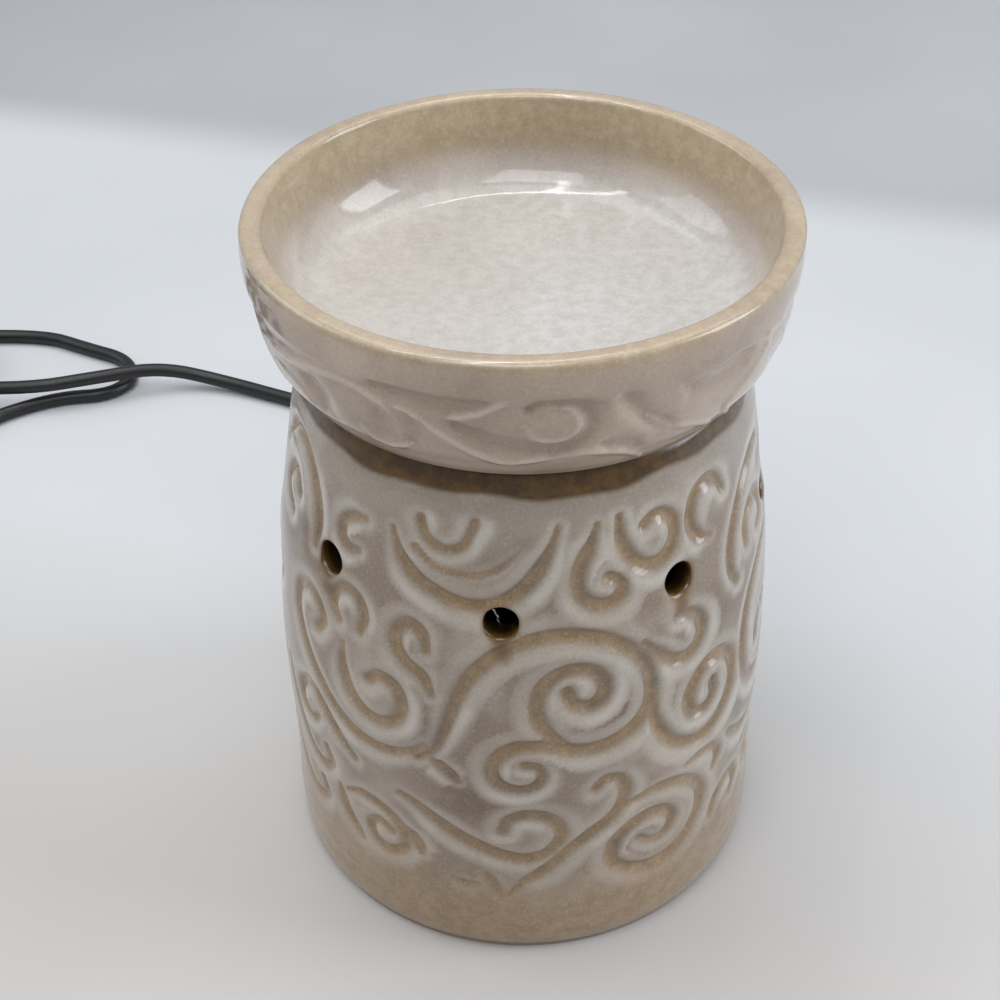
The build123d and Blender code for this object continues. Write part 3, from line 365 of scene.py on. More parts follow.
def make_piece(name, points, quads, material, body, fields=None, triangles=None):
    """A mesh object from points in millimetres, with unused points dropped."""
    quads = np.asarray(quads).reshape(-1, 4)
    triangles = np.zeros((0, 3), int) if triangles is None else np.asarray(triangles).reshape(-1, 3)
    used = np.zeros(len(points), bool)
    used[quads.ravel()] = True
    used[triangles.ravel()] = True
    renumber = np.cumsum(used) - 1
    corners = np.concatenate([renumber[quads].ravel(), renumber[triangles].ravel()])
    sizes = np.concatenate([np.full(len(quads), 4), np.full(len(triangles), 3)])
    mesh = bpy.data.meshes.new(name)
    mesh.vertices.add(int(used.sum()))
    mesh.vertices.foreach_set("co", (points[used] * MM).astype(np.float32).ravel())
    mesh.loops.add(len(corners))
    mesh.loops.foreach_set("vertex_index", corners.astype(np.int32))
    mesh.polygons.add(len(sizes))
    mesh.polygons.foreach_set("loop_start", (np.cumsum(sizes) - sizes).astype(np.int32))
    mesh.polygons.foreach_set("use_smooth", np.ones(len(sizes), bool))
    for key, values in (fields or {}).items():
        layer = mesh.attributes.new(key, "FLOAT", "POINT")
        layer.data.foreach_set("value", np.clip(values[used], 0, 1).astype(np.float32))
    mesh.update(calc_edges=True)
    mesh.validate()
    mesh.materials.append(material)
    piece = show(name, mesh)
    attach(piece, body)
    return piece


def turned_points(radius, azimuth, height):
    """Points at radius and azimuth degrees, 0 at the front and growing to the right."""
    angle = np.radians(azimuth)
    return np.stack([radius * np.sin(angle), -radius * np.cos(angle), height + 0 * angle], -1)


# Scrolls. Each cut is its half-widths at start, middle and end, its depth, and its points, in
# degrees round the body, where a degree is about a millimetre, and millimetres up it. One mould
# half carries them all, and the other half carries them again, half a turn on.

MOULD_HALF = 180  # degrees round
SCROLLS = [
    ((0.8, 1.9, 0.9), 1.3, [
        (-31, 122), (-29, 116.5), (-25, 112), (-19, 109), (-12, 107.4), (-6, 108.4), (-1, 111.5),
        (3, 116), (6, 121), (8, 126.5),
    ]),
    ((1.4, 1.3, 1.5), 1.1, [
        (-24, 126), (-22.8, 122.6), (-20, 120.4), (-16.5, 120), (-13.6, 121.6), (-12, 124.4), (-11, 127),
    ]),
    ((1.2, 0.8, 0.5), 0.5, [(-25, 119), (-20, 115.8), (-13, 114.8), (-6, 116.8), (-1, 121)]),
    ((0.9, 2.0, 1.5), 1.3, [
        (17, 126), (15.6, 121.5), (13.4, 117.5), (12.2, 113.5), (12.8, 109.8), (15.4, 107.2),
        (18.8, 106.3), (21.8, 107.6), (22.8, 110), (21.3, 112), (19.4, 113),
    ]),
    ((1.2, 2.0, 1.4), 1.3, [
        (22.5, 126.5), (22.8, 121.5), (24.6, 116.8), (27.4, 113.8), (31, 112.6), (34.8, 114),
        (37.2, 117.4), (37, 121), (34.4, 123.8), (31, 124.2), (28.6, 122.8),
    ]),
    ((1.2, 1.9, 0.7), 1.3, [
        (54.5, 121), (52.6, 124.2), (48.6, 125.8), (44.8, 124.6), (42.6, 121.2), (42.4, 117),
        (44.6, 113.8), (48.5, 112.2),
    ]),
    ((1.0, 1.8, 1.2), 1.2, [
        (79, 121), (73, 120.8), (67, 118.6), (62, 114.4), (58, 109), (55.8, 103.6), (55.6, 98.6),
        (57.6, 94.8),
    ]),
    ((1.2, 1.7, 1.2), 1.0, [
        (63.5, 101), (64, 106), (67.5, 109.4), (72, 109.6), (75, 106.4), (74.4, 102.4), (71, 101),
    ]),
    ((1.3, 1.9, 1.2), 1.2, [
        (36.6, 97), (40, 96.4), (43, 93.8), (44, 90.2), (42.6, 86.6), (38.6, 84.9), (34, 86.6),
        (30.6, 90.4), (27.4, 94),
    ]),
    ((1.0, 2.1, 1.3), 1.4, [
        (-24, 62.5), (-20.4, 65.6), (-17.6, 72), (-15.6, 79), (-13.2, 86), (-9.6, 92), (-4.6, 96.6),
        (1, 99.4), (7, 100.5), (13, 99.8), (19, 97.4), (24.2, 93.2), (28, 87.8), (29.6, 81.8), (28.8, 76),
        (25.4, 71.4), (20.2, 68.6), (14.6, 67.8), (9, 68.8), (3.6, 70.3), (-1.6, 70), (-5.4, 67.2),
        (-6.9, 62.8), (-5.6, 59), (-1.8, 57), (2.2, 57.8), (4.3, 60.8), (3.2, 64), (0.4, 64.8),
    ]),
    ((1.0, 2.0, 1.8), 1.4, [
        (12.4, 68), (8, 71.2), (4.4, 75.8), (2.9, 81), (3.7, 86.2), (7, 90), (11.6, 91.2), (15.8, 89.6),
        (18, 86), (17.4, 82.2), (14.4, 80.4), (11.2, 81.6), (9.6, 85.2),
    ]),
    ((1.2, 2.1, 1.5), 1.4, [
        (29.4, 83), (29.8, 76), (30.8, 69.6), (33.6, 63.8), (38, 59.4), (43.6, 57.4), (49.2, 59),
        (53.8, 63.6), (56, 69.6), (54.8, 75.2), (50.6, 78.8), (45.6, 78.8), (41.6, 75.4), (40, 70.6),
        (41.6, 66.6), (45.2, 66), (48, 68.6), (48, 72.6),
    ]),
    ((1.1, 1.9, 1.0), 1.2, [
        (-21.4, 94), (-22.6, 98.2), (-25.8, 99.8), (-28.6, 97.2), (-28.8, 92.4), (-26.2, 89),
        (-22.4, 86.6), (-20.2, 82.4),
    ]),
    ((1.0, 1.7, 1.5), 1.0, [
        (-22, 67), (-27, 63), (-33.6, 60.8), (-40.6, 61.2), (-47, 64), (-52.6, 68.4), (-57.6, 73.4),
        (-61.4, 79), (-63.4, 85), (-62, 91), (-57.6, 94), (-53, 92), (-51.4, 87.6), (-53.6, 84.4),
    ]),
    ((0.8, 1.8, 1.7), 1.1, [
        (-44.4, 86), (-44.6, 79.6), (-42, 73), (-37.4, 69.4), (-32.2, 69.4), (-28.6, 72.4), (-27.6, 77),
        (-29.4, 81.2), (-33.2, 82.4), (-36.4, 80),
    ]),
    ((1.2, 1.5, 1.3), 1.0, [
        (-38.8, 92), (-37.6, 96.4), (-39.4, 100.4), (-43.2, 101.6), (-46.6, 99.2), (-47.4, 95),
        (-45.6, 91.8),
    ]),
    ((1.0, 1.6, 1.0), 1.0, [
        (-38.6, 121), (-42.6, 120), (-45.8, 117.4), (-46, 114), (-43.6, 111.8), (-40.4, 112.6),
    ]),
    ((1.2, 2.0, 1.0), 1.2, [
        (-80, 121), (-77, 125), (-72, 127.4), (-66, 127.2), (-60.6, 124), (-57, 118.8), (-55.2, 112.8),
        (-55.4, 106),
    ]),
    ((1.6, 1.6, 1.4), 1.0, [
        (-66, 113.6), (-68.6, 117.2), (-72.4, 117), (-74.8, 113.6), (-73.6, 109.4), (-69.6, 107.2),
    ]),
    ((0.8, 1.5, 0.7), 1.1, [(-20.4, 63.4), (-17.4, 61.2), (-14.2, 58.2)]),
    ((1.1, 1.9, 1.6), 1.2, [
        (-29, 48.5), (-24.5, 46.6), (-20.4, 43.6), (-15.6, 40.2), (-10, 37), (-4.4, 34.4), (1.2, 33.4),
        (5.8, 35.4), (8.5, 39.8), (8.2, 44.4), (4.8, 47.8), (0.4, 48.6), (-3.4, 46.6), (-4.6, 43),
    ]),
    ((1.3, 1.8, 0.8), 1.2, [
        (16.2, 55), (18.6, 57.4), (21.6, 56.8), (23.3, 53.2), (23, 48.6), (20.6, 44.2), (16.4, 40.8),
        (12, 37), (8, 32.4), (4, 28.4), (0, 25), (-3.4, 20.6),
    ]),
    ((1.0, 2.0, 1.2), 1.2, [
        (21.6, 45.6), (26, 47.6), (31.6, 48.4), (37.4, 47.2), (42.8, 43.8), (46.2, 38.6), (46.4, 32.4),
        (43.2, 26.8), (37.6, 23), (31, 22.2), (25, 24.4), (21, 28.6), (21.4, 34), (25, 38.4), (30, 40.6),
        (35, 39), (37.2, 35), (35.2, 31.4), (31, 31), (28, 33.6),
    ]),
    ((0.8, 1.5, 1.0), 0.9, [(40, 51), (45, 51.4), (49.6, 50.2), (51.9, 46.8), (50.4, 42.6)]),
    ((0.7, 1.3, 0.8), 1.0, [(-8.6, 28), (-6.8, 24.4), (-5, 19.4)]),
    ((0.7, 1.2, 0.7), 0.9, [(-16.4, 24.4), (-13.4, 23), (-10.4, 23.6)]),
    ((0.9, 1.8, 1.2), 1.1, [(-49, 37.4), (-48, 32.6), (-45.4, 28.4), (-42, 24.4)]),
    ((1.0, 1.7, 1.4), 1.1, [
        (-46, 38), (-42, 40.4), (-36.4, 40.6), (-31, 37.8), (-28.2, 33), (-29.6, 28.2), (-34, 26),
        (-38, 28), (-38.6, 32.4), (-35.6, 34.8), (-32.4, 33),
    ]),
    ((0.9, 1.6, 0.9), 1.0, [(-27.8, 36.8), (-25.4, 33.6), (-24.2, 29.6)]),
    ((1.1, 1.8, 1.3), 1.1, [
        (-42, 52), (-47, 55.6), (-52, 60.6), (-57, 63.6), (-62, 62), (-64.4, 57.6), (-62.6, 53.4),
        (-58.4, 52.4), (-56, 55),
    ]),
    ((1.0, 1.7, 1.1), 1.1, [
        (-74, 60), (-70, 52), (-65.6, 45), (-60, 40), (-54.4, 39.6), (-51.6, 43.4), (-53.4, 47),
    ]),
    ((0.9, 1.6, 1.0), 1.0, [(-76, 38), (-71, 31), (-65, 26.4), (-59, 25.6), (-55.6, 29), (-57.4, 33)]),
    ((1.0, 1.7, 1.2), 1.0, [(51.6, 24.4), (53.4, 29), (57.4, 32), (62, 31.4), (64.2, 27.4), (61.8, 24)]),
    ((1.0, 1.9, 1.4), 1.2, [
        (84, 96), (78, 95.4), (71, 92.8), (65.6, 87.4), (62, 80), (61, 72), (62.6, 64.4), (67, 58.8),
        (73.4, 57), (79, 60), (81.6, 66.4), (80, 73), (75, 76), (70.6, 73), (70.4, 68.2),
    ]),
    ((0.9, 1.7, 1.2), 1.1, [(56, 50), (61, 46), (66.6, 44), (72.4, 45.4), (76, 50)]),
    ((1.0, 1.8, 1.3), 1.1, [
        (68, 36.6), (73.6, 39.6), (79.6, 38.4), (83, 33), (81, 27.4), (75.6, 25.6), (71.6, 29), (73.4, 33),
    ]),
    ((1.0, 1.8, 1.2), 1.1, [
        (86, 112), (90.5, 106), (92, 98), (90, 90), (93, 82), (98, 79), (101.5, 83), (100, 88),
    ]),
    ((1.0, 1.8, 1.2), 1.1, [(82, 50), (88, 54.6), (91, 62), (90, 70), (86.6, 75)]),
    ((0.9, 1.6, 1.0), 1.0, [(86, 24.6), (91, 29), (92.6, 36), (90, 43), (85.8, 46.4)]),
]

# Folds of the dish's outside: (half-width, height, points), in degrees and millimetres up.
# A positive height is a thin raised line, a negative one a soft hollow.
FOLDS = [
    (0.55, 0.45, [
        (-60, 156.6), (-50, 158.2), (-44, 159.5), (-37, 160.4), (-31.4, 159.6), (-27.2, 157.6),
        (-25.2, 154.6),
    ]),
    (0.6, 0.5, [
        (-24.5, 158.2), (-21, 157.2), (-17, 154.2), (-12, 150.8), (-7, 147.8), (-3, 146.4), (0, 146.9),
        (5, 147.8), (12, 148.7), (18, 147.6), (22.4, 145.4), (26, 142.4),
    ]),
    (0.5, 0.45, [(-33.6, 150.4), (-32, 147.7), (-29, 146.4), (-25.6, 147), (-22.4, 148.8)]),
    (0.5, 0.45, [(-14, 158), (-10, 159), (-6.4, 160.8), (-3, 163.4)]),
    (0.45, 0.4, [
        (0.2, 157), (1.6, 154.2), (5.4, 152.7), (9.2, 153.8), (10.6, 157), (9.2, 160.6), (5.6, 161.4),
    ]),
    (0.5, 0.45, [(24, 155.6), (28, 152.2), (33.4, 149.8), (39.4, 147.4), (43.4, 144.8)]),
    (0.6, 0.5, [(45, 149.6), (50, 152.6), (54, 156), (57.4, 159.6), (55.4, 162), (54.4, 164.2)]),
    (0.5, 0.45, [(45, 149.2), (48, 145.8), (51.6, 142.4)]),
    (0.5, 0.4, [(60, 164), (62.6, 160.6), (66, 157.4), (70.6, 151), (75, 148.4), (81, 147)]),
    (0.5, 0.4, [(-62, 152.6), (-57, 152.2), (-51, 150.6), (-47.8, 148)]),
    (0.5, 0.4, [(-88, 158), (-82, 161), (-75, 161), (-69, 157), (-65, 151), (-60, 146.4)]),
    (1.8, -0.7, [(-30, 162.2), (-22, 162), (-14, 161.6), (-7, 162.4)]),
    (1.9, -0.8, [
        (-13.4, 156), (-9, 153.8), (-5, 151.8), (0, 150.6), (5, 149.9), (9.6, 150.8), (12.6, 153.4),
        (13.4, 157), (12, 160.6), (8.4, 163), (4, 163.2), (1, 161),
    ]),
    (1.7, -0.7, [(18.4, 164.4), (20.6, 160.8), (23.4, 157), (26.6, 153.8), (31, 151)]),
    (2.4, -0.5, [(33, 160), (38, 157.4), (44, 158.6), (50, 160.8)]),
    (1.8, -0.6, [(-22.4, 155.6), (-21.4, 152), (-23, 149.4)]),
    (2.0, -0.5, [(-29, 155.6), (-27.4, 152.4), (-28, 149.6)]),
    (2.0, -0.6, [(-48, 155.4), (-44.6, 153.6), (-43.6, 150.6), (-45, 148.4)]),
    (1.8, -0.6, [(16, 150.2), (20, 149.6), (24, 147.4)]),
    (1.7, -0.6, [(62, 153), (66, 149), (71, 146)]),
    (1.8, -0.6, [(-84, 154), (-78, 157), (-72, 155), (-68.4, 150)]),
    (1.7, -0.6, [(66, 162), (72, 159.4), (79, 159), (86, 161)]),
]


# How a cut of the body and a fold of the dish are shaped. Lengths are millimetres, and bands
# and the lip are in half-widths of the cut.
LINE_STEP = 0.6
SCROLL_REACH, FOLD_REACH = 6.0, 5.0  # how far from its line each is felt
SCROLL_TAPER_SHARE, FOLD_TAPER_SHARE = 0.22, 0.15  # of the length, at each end
FLOOR_BAND = (0.15, 1.4)  # from the floor of the cut to the top of its side
TAN_BAND = (0.55, 1.3)  # where the tan of the floor gives way to glaze
LIP_MIDDLE, LIP_SPREAD, LIP_RISE = 1.9, 1.15, 0.16
SWELL_START, SWELL_RISE = 1.5, 0.4
SHADE_LEFTWARD, SHADE_UPWARD = 0.5, 0.87  # way towards the side of a cut painted in shade, up and to the left, as shares of one step
RAISED_SPREAD, HOLLOW_SPREAD, FOLD_SCALE = 1.5, 1.35, 1.5
SIDE_BAND, SIDE_LOSS = (46, 64), 0.7  # degrees over which the folds lose this share
DEEP_HOLLOW, HIGH_RAISED = 1.2, 0.7  # depth and height at which a fold's mask is full


def wound_line(points):
    """Smooth line through given points, at even steps, with its share of the way along."""
    points = np.asarray(points, float)
    way = np.concatenate([[0], np.cumsum(np.hypot(*np.diff(points, axis=0).T))])
    places = np.linspace(0, way[-1], max(4, int(way[-1] / LINE_STEP)))
    return smooth_line(places, way, points), places / way[-1]


PAIRS_AT_ONCE = 4_000_000  # of points and line points, to keep the arrays small


def nearest(azimuth, height, line, reach):
    """Distance from each point to the line, and the number of its nearest point there."""
    distance = np.full(azimuth.shape, reach)
    along = np.zeros(azimuth.shape, int)
    low, high = line.min(0) - reach, line.max(0) + reach
    beside = (azimuth > low[0]) & (azimuth < high[0])
    inside = np.nonzero(beside & (height > low[1]) & (height < high[1]))[0]
    for part in np.array_split(inside, max(1, len(inside) * len(line) // PAIRS_AT_ONCE)):
        gaps = np.hypot(azimuth[part, None] - line[None, :, 0], height[part, None] - line[None, :, 1])
        along[part] = gaps.argmin(1)
        distance[part] = np.minimum(gaps.min(1), reach)
    return distance, along


def scroll_relief(azimuth, height):
    """Carving of the body: depth in millimetres with its cut and halo masks.

    Across a cut the depth falls from its floor to nothing a little past its half-width, a low
    lip stands beside it, and the ground between cuts swells a little. The cut's mask is fullest at
    its upper left edge, as painted shade, and the lip and its halo at its lower right one, as painted
    light, as if lit from the upper left.
    """
    shape = azimuth.shape
    azimuth, height = azimuth.ravel(), height.ravel()
    azimuth = (azimuth + MOULD_HALF / 2) % MOULD_HALF - MOULD_HALF / 2
    depth, mask, lip = np.zeros(azimuth.size), np.zeros(azimuth.size), np.zeros(azimuth.size)
    swell = np.full(azimuth.size, SCROLL_REACH)
    for (first, middle, last), deep, points in SCROLLS:
        line, share = wound_line(points)
        ends = np.where(share < 0.5, first, last)
        width = ends + (middle - ends) * soft(np.minimum(share, 1 - share), 0, SCROLL_TAPER_SHARE)
        for turn in (-MOULD_HALF, 0, MOULD_HALF):
            moved = line + (turn, 0)
            distance, along = nearest(azimuth, height, moved, SCROLL_REACH)
            ratio = distance / width[along]
            sideways, upwards = moved[along, 0] - azimuth, height - moved[along, 1]
            toward_shade = (SHADE_LEFTWARD * sideways + SHADE_UPWARD * upwards) / width[along]
            floor = 1 - soft(ratio, *FLOOR_BAND)
            depth = np.maximum(depth, 0.95 * deep * floor * np.minimum(1, width[along] / 1.5))
            # Painted shade: the tan is fuller on the upper left side of the cut.
            mask = np.maximum(mask, (1 - soft(ratio, *TAN_BAND)) * (0.7 + 0.3 * soft(toward_shade, -1.0, 0.5)))
            bank = np.exp(-(((ratio - LIP_MIDDLE) / LIP_SPREAD) ** 2)) * np.minimum(1, width[along] / 1.6)
            near = distance < SCROLL_REACH
            # Painted light: the lip and its halo are fuller on the lower right side.
            lip = np.maximum(lip, bank * (1 - 0.45 * soft(toward_shade, -1.2, 1.2)) * near)
            swell = np.minimum(swell, distance)
    lip = lip * (1 - mask)
    rise = LIP_RISE * lip + SWELL_RISE * soft(swell, SWELL_START, SCROLL_REACH)
    return (rise - depth).reshape(shape), mask.reshape(shape), lip.reshape(shape)


def fold_relief(azimuth, height):
    """Folds of the dish's outside: sum of the hollows and the highest of the raised lines.

    Each is a bell across its line, tapered at both ends. They are shallower at the sides.
    """
    shape = azimuth.shape
    azimuth, height = azimuth.ravel(), height.ravel()
    azimuth = (azimuth + MOULD_HALF / 2) % MOULD_HALF - MOULD_HALF / 2
    hollow, raised = np.zeros(azimuth.size), np.zeros(azimuth.size)
    front = 1 - SIDE_LOSS * soft(abs(azimuth), *SIDE_BAND)
    for width, lift, points in FOLDS:
        line, share = wound_line(points)
        taper = 0.45 + 0.55 * soft(np.minimum(share, 1 - share), 0, FOLD_TAPER_SHARE)
        spread = RAISED_SPREAD if lift > 0 else HOLLOW_SPREAD
        for turn in (-MOULD_HALF, 0, MOULD_HALF):
            distance, along = nearest(azimuth, height, line + (turn, 0), FOLD_REACH)
            bell = FOLD_SCALE * np.exp(-((distance / (spread * width * taper[along])) ** 2)) * front
            if lift > 0:
                raised = np.maximum(raised, lift * bell)
            else:
                hollow = np.minimum(hollow, lift * bell)
    full_hollow, full_raised = -hollow / DEEP_HOLLOW, raised / HIGH_RAISED
    return (raised + hollow).reshape(shape), full_hollow.reshape(shape), full_raised.reshape(shape)


# Stoneware body

# Radii of the walls at the heights of their knots, then the rest of the profile as (radius,
# height): the land and neck at the top, and the ledge, rebate and foot underneath
BODY_KNOTS = [
    1.0, 2.2, 5, 15, 25, 35, 50, 65, 75, 85, 95, 100, 105, 110, 115, 120, 127, 131, 134.6, 137.4,
    139.2, 139.5,
]
BODY_RADII = [
    56.4, 57.4, 58.2, 58.3, 58.1, 58.2, 58.6, 58.6, 58.2, 57.5, 56.8, 56.2, 55.3, 54.5, 53.7, 52.9,
    51.8, 51.0, 50.0, 48.9, 47.4, 46.6,
]
INNER_KNOTS = [25.0, 57.8, 80, 96.6, 112, 124, 133]
INNER_RADII = [53.0, 53.4, 53.0, 51.4, 49.0, 46.6, 44.7]
BODY_LAND = [(45.4, 139.5), (44.8, 139.2), (44.6, 138.4), (44.6, 134.4)]
BODY_UNDER = [
    (52.2, 22.0), (47.8, 16.4), (47.5, 15.8), (47.5, 12.0), (51.2, 12.0), (51.2, 1.4), (51.6, 1.0),
]
BODY_COLUMNS = 450
FOOT_LINE, SHOULDER_LINE, BODY_TOP = 12.0, 133.0, 139.5
VENT_BAND = (97, 114)  # heights where the inner wall has the outer wall's rows, to join at vents
UNDER_THIN, LAND_BROWN = 0.45, 0.8  # masks of the glaze where no light falls, and on the land
WALL_INSET = 0.1  # keeps the waves of the wall inside its solid
CARVING_FOOT, CARVING_SHOULDER = (12.5, 16.5), (127.5, 130.5)  # heights where the carving fades
BEADS = [(13.5, 1.3, 0.35), (130.6, 1.2, 0.2)]  # height, spread and rise

# Vents: azimuth and height of each, and the grid's rows and columns that each takes up
VENTS = [
    (-49.5, 106.0), (-4.8, 104.0), (37.7, 106.3), (82.0, 105.3), (127.0, 106.3), (172.0, 104.6),
    (216.0, 105.6), (263.0, 104.9),
]
VENT_RADIUS, VENT_ROUND = 3.7, 0.9
VENT_SCALE = 0.97  # millimetres to a degree, at the vents' height
VENT_ROWS, VENT_COLUMNS = 12, 14
RING_SHARES = (0.4, 0.7, 0.85, 0.93, 1.0)  # of the way in to the vent's edge
BORE_SHARES = (0.35, 0.7, 1.0)  # of the way through the wall
BROWN_EDGE_SHARE = 0.9
STAIN_DROP, STAIN_LENGTH, STAIN_WIDTH, EDGE_STAIN = 7.0, 3.6, 2.9, 1.1


def vent_distance(azimuth, height):
    """Distance to the middle of the nearest vent, and how far below it the point lies."""
    best, below = np.full(azimuth.shape, 99.0), np.zeros(azimuth.shape)
    for centre, level in VENTS:
        across = (azimuth - centre + 180) % 360 - 180
        gap = np.hypot(across * VENT_SCALE, height - level)
        nearer = gap < best
        best, below = np.where(nearer, gap, best), np.where(nearer, level - height, below)
    return best, below


def body_wall(azimuth, height):
    """Outer wall with the carving, faded out at the plain foot and the plain shoulder.

    A low bead runs round at each end of the carving, a vent's edge is rolled in by a quarter
    circle, and slow waves stand for the way that the clay moved in drying.
    """
    radius = smooth_line(height.ravel(), BODY_KNOTS, BODY_RADII).reshape(height.shape)
    relief, tan_and_shade, halo_and_light = scroll_relief(azimuth, height)
    inside = soft(height, *CARVING_FOOT) * (1 - soft(height, *CARVING_SHOULDER))
    bead = sum(rise * np.exp(-(((height - level) / spread) ** 2)) for level, spread, rise in BEADS)
    gap, below = vent_distance(azimuth, height)
    clear = soft(gap, VENT_RADIUS + 0.2, VENT_RADIUS + 2.2)
    turned_in = np.clip(VENT_RADIUS + VENT_ROUND - gap, 0, VENT_ROUND)
    rolled = VENT_ROUND - np.sqrt(np.maximum(VENT_ROUND**2 - turned_in**2, 0))
    wave = waves(azimuth, (0.12, 2, height * 1.7), (0.1, 5, height * -3))
    wave = wave * soft(height, 2, 10) * (1 - soft(height, 128, 136))
    radius = radius + relief * inside * clear + bead - rolled + wave - WALL_INSET
    return turned_points(radius, azimuth, height), tan_and_shade * inside, halo_and_light * inside, gap, below


def body_colour(azimuth, height, tan_and_shade, halo_and_light, gap, below):
    """Masks of the glaze: thin at the foot, brown on the top ring, stained round and under vents, with
    painted light near the top.
    """
    wobble = waves(azimuth, (1.2, 7, 0), (0.8, 17, 40))
    foot = 1 - soft(height + wobble, 9, 32)
    warm = 1 - soft(height + 3 * wobble, 22, 74)
    ring = soft(height + 0.4 * wobble, 131.6, 135.4)
    across = gap**2 - below**2
    stain = 0.7 * np.exp(-(((gap - VENT_RADIUS) / EDGE_STAIN) ** 2))
    drop = ((below - STAIN_DROP) / STAIN_LENGTH) ** 2 + across / STAIN_WIDTH**2
    stain = stain + 0.95 * np.exp(-drop)
    return {
        "tan_and_shade": np.maximum(tan_and_shade, stain),
        # Painted light: the halo is raised towards the top, where the dish's overhang shades the body.
        "halo_and_light": halo_and_light * (1 - 0.5 * foot) + 0.35 * soft(height, 112, 128),
        "thin": 0.55 * foot + 0.3 * warm,
        "ring": np.maximum(ring, 0.5 * stain),
        "bore_shade": 0 * height,
    }


def block_edge(number, rows, columns):
    """Numbers of the points round a block of the grid, once round."""
    block = number[np.ix_(rows, columns)]
    return np.concatenate([block[0, :-1], block[:-1, -1], block[-1, :0:-1], block[:0:-1, 0]])


def vent_rings(centre, level, flat):
    """Rings of one vent with their masks: from its block's edge to a circle, then through the wall."""
    turn = np.arctan2(flat[:, 1], flat[:, 0] * VENT_SCALE)
    circle = VENT_RADIUS * np.stack([np.cos(turn) / VENT_SCALE, np.sin(turn)], -1)
    rings = []
    for share in RING_SHARES:
        spot = flat + (circle - flat) * share + (centre, level)
        ring, *masks = body_wall(spot[:, 0], spot[:, 1])
        tone = body_colour(spot[:, 0], spot[:, 1], *masks)
        tone["ring"] = tone["ring"] + 0.5 * (share > BROWN_EDGE_SHARE)
        rings.append((ring, tone))
    azimuth, height = (circle + (centre, level)).T
    inner_ring = turned_points(smooth_line(height, INNER_KNOTS, INNER_RADII), azimuth, height)
    outer_ring = rings[-1][0]
    # Bore walls: brown, and painted near black as shade inside the hole.
    dark = {key: np.full(len(flat), float(key in ("ring", "bore_shade"))) for key in tone}
    return rings + [(outer_ring + (inner_ring - outer_ring) * share, dark) for share in BORE_SHARES]


def shape_body():
    """Closed shell: carved outside, over the land, down the neck, ledge, rebate and foot.

    Rows follow the profile and columns go round. At each vent a block of both walls is left
    out, and rings that shrink from the block's edge to a circle line the hole.
    """
    step = 360 / BODY_COLUMNS
    azimuth = np.arange(BODY_COLUMNS) * step
    foot = np.linspace(BODY_KNOTS[0], FOOT_LINE, 9)[:-1]
    wall = np.linspace(FOOT_LINE, SHOULDER_LINE, 146)[:-1]
    shoulder = BODY_TOP - (BODY_TOP - SHOULDER_LINE) * np.cos(np.linspace(0, np.pi / 2, 8))
    outside = np.concatenate([foot, wall, shoulder])
    vent_rows = outside[(outside > VENT_BAND[0]) & (outside < VENT_BAND[1])][::-1]
    inside = np.concatenate([np.linspace(133, 116, 6), vent_rows, np.linspace(94, 25, 9)])
    inner = smooth_line(inside, INNER_KNOTS, INNER_RADII)
    points, *masks = body_wall(*np.meshgrid(azimuth, outside))
    fields = body_colour(*np.meshgrid(azimuth, outside), *masks)
    rest = np.array(BODY_LAND + list(zip(inner, inside)) + BODY_UNDER)
    rest_points = turned_points(rest[:, :1], *np.meshgrid(azimuth, rest[:, 1]))
    level_of = np.concatenate([outside, rest[:, 1]])
    number = np.arange(len(level_of) * BODY_COLUMNS).reshape(-1, BODY_COLUMNS)
    keep = np.ones(number.shape, bool)
    first_inner = len(outside) + len(BODY_LAND)
    extra_points, extra_fields, extra_quads = [], [], []
    count = number.size
    for centre, level in VENTS:
        left = int(round(centre % 360 / step)) - VENT_COLUMNS // 2
        across = (left + np.arange(VENT_COLUMNS + 1)) % BODY_COLUMNS
        low = int(np.argmin(abs(outside - level))) - VENT_ROWS // 2
        up = low + np.arange(VENT_ROWS + 1)
        inner_up = np.array([first_inner + int(np.argmin(abs(inside - outside[k]))) for k in up])
        keep[np.ix_(up[:-1], across[:-1])] = False
        keep[np.ix_(inner_up[1:], across[:-1])] = False
        rim = block_edge(number, up, across)
        flat_azimuth = (azimuth[rim % BODY_COLUMNS] - centre + 180) % 360 - 180
        flat = np.stack([flat_azimuth, level_of[rim // BODY_COLUMNS] - level], -1)
        edges = [rim]
        for ring, tone in vent_rings(centre, level, flat):
            extra_points.append(ring)
            extra_fields.append(tone)
            edges.append(count + np.arange(len(rim)))
            count += len(rim)
        edges.append(block_edge(number, inner_up, across))
        for here, there in zip(edges, edges[1:]):
            extra_quads.append(np.stack([here, np.roll(here, -1), np.roll(there, -1), there], -1))
    quads = grid_quads(*number.shape, True, True)[keep.ravel()]
    full = {}
    for key, value in fields.items():
        quiet = np.full(rest_points.shape[:2], UNDER_THIN if key == "thin" else 0.0)
        if key == "ring":
            quiet[: len(BODY_LAND)] = LAND_BROWN
        full[key] = np.concatenate([value.ravel(), quiet.ravel(), *[tone[key] for tone in extra_fields]])
    cloud = np.concatenate([points.reshape(-1, 3), rest_points.reshape(-1, 3), *extra_points])
    return cloud, np.concatenate([quads, *extra_quads]), full


cloud, quads, fields = shape_body()
body_piece = make_piece("stoneware_body", cloud, quads, GLAZE_BODY, "warmer", fields)
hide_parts("ceramic_body")


# Stoneware dish

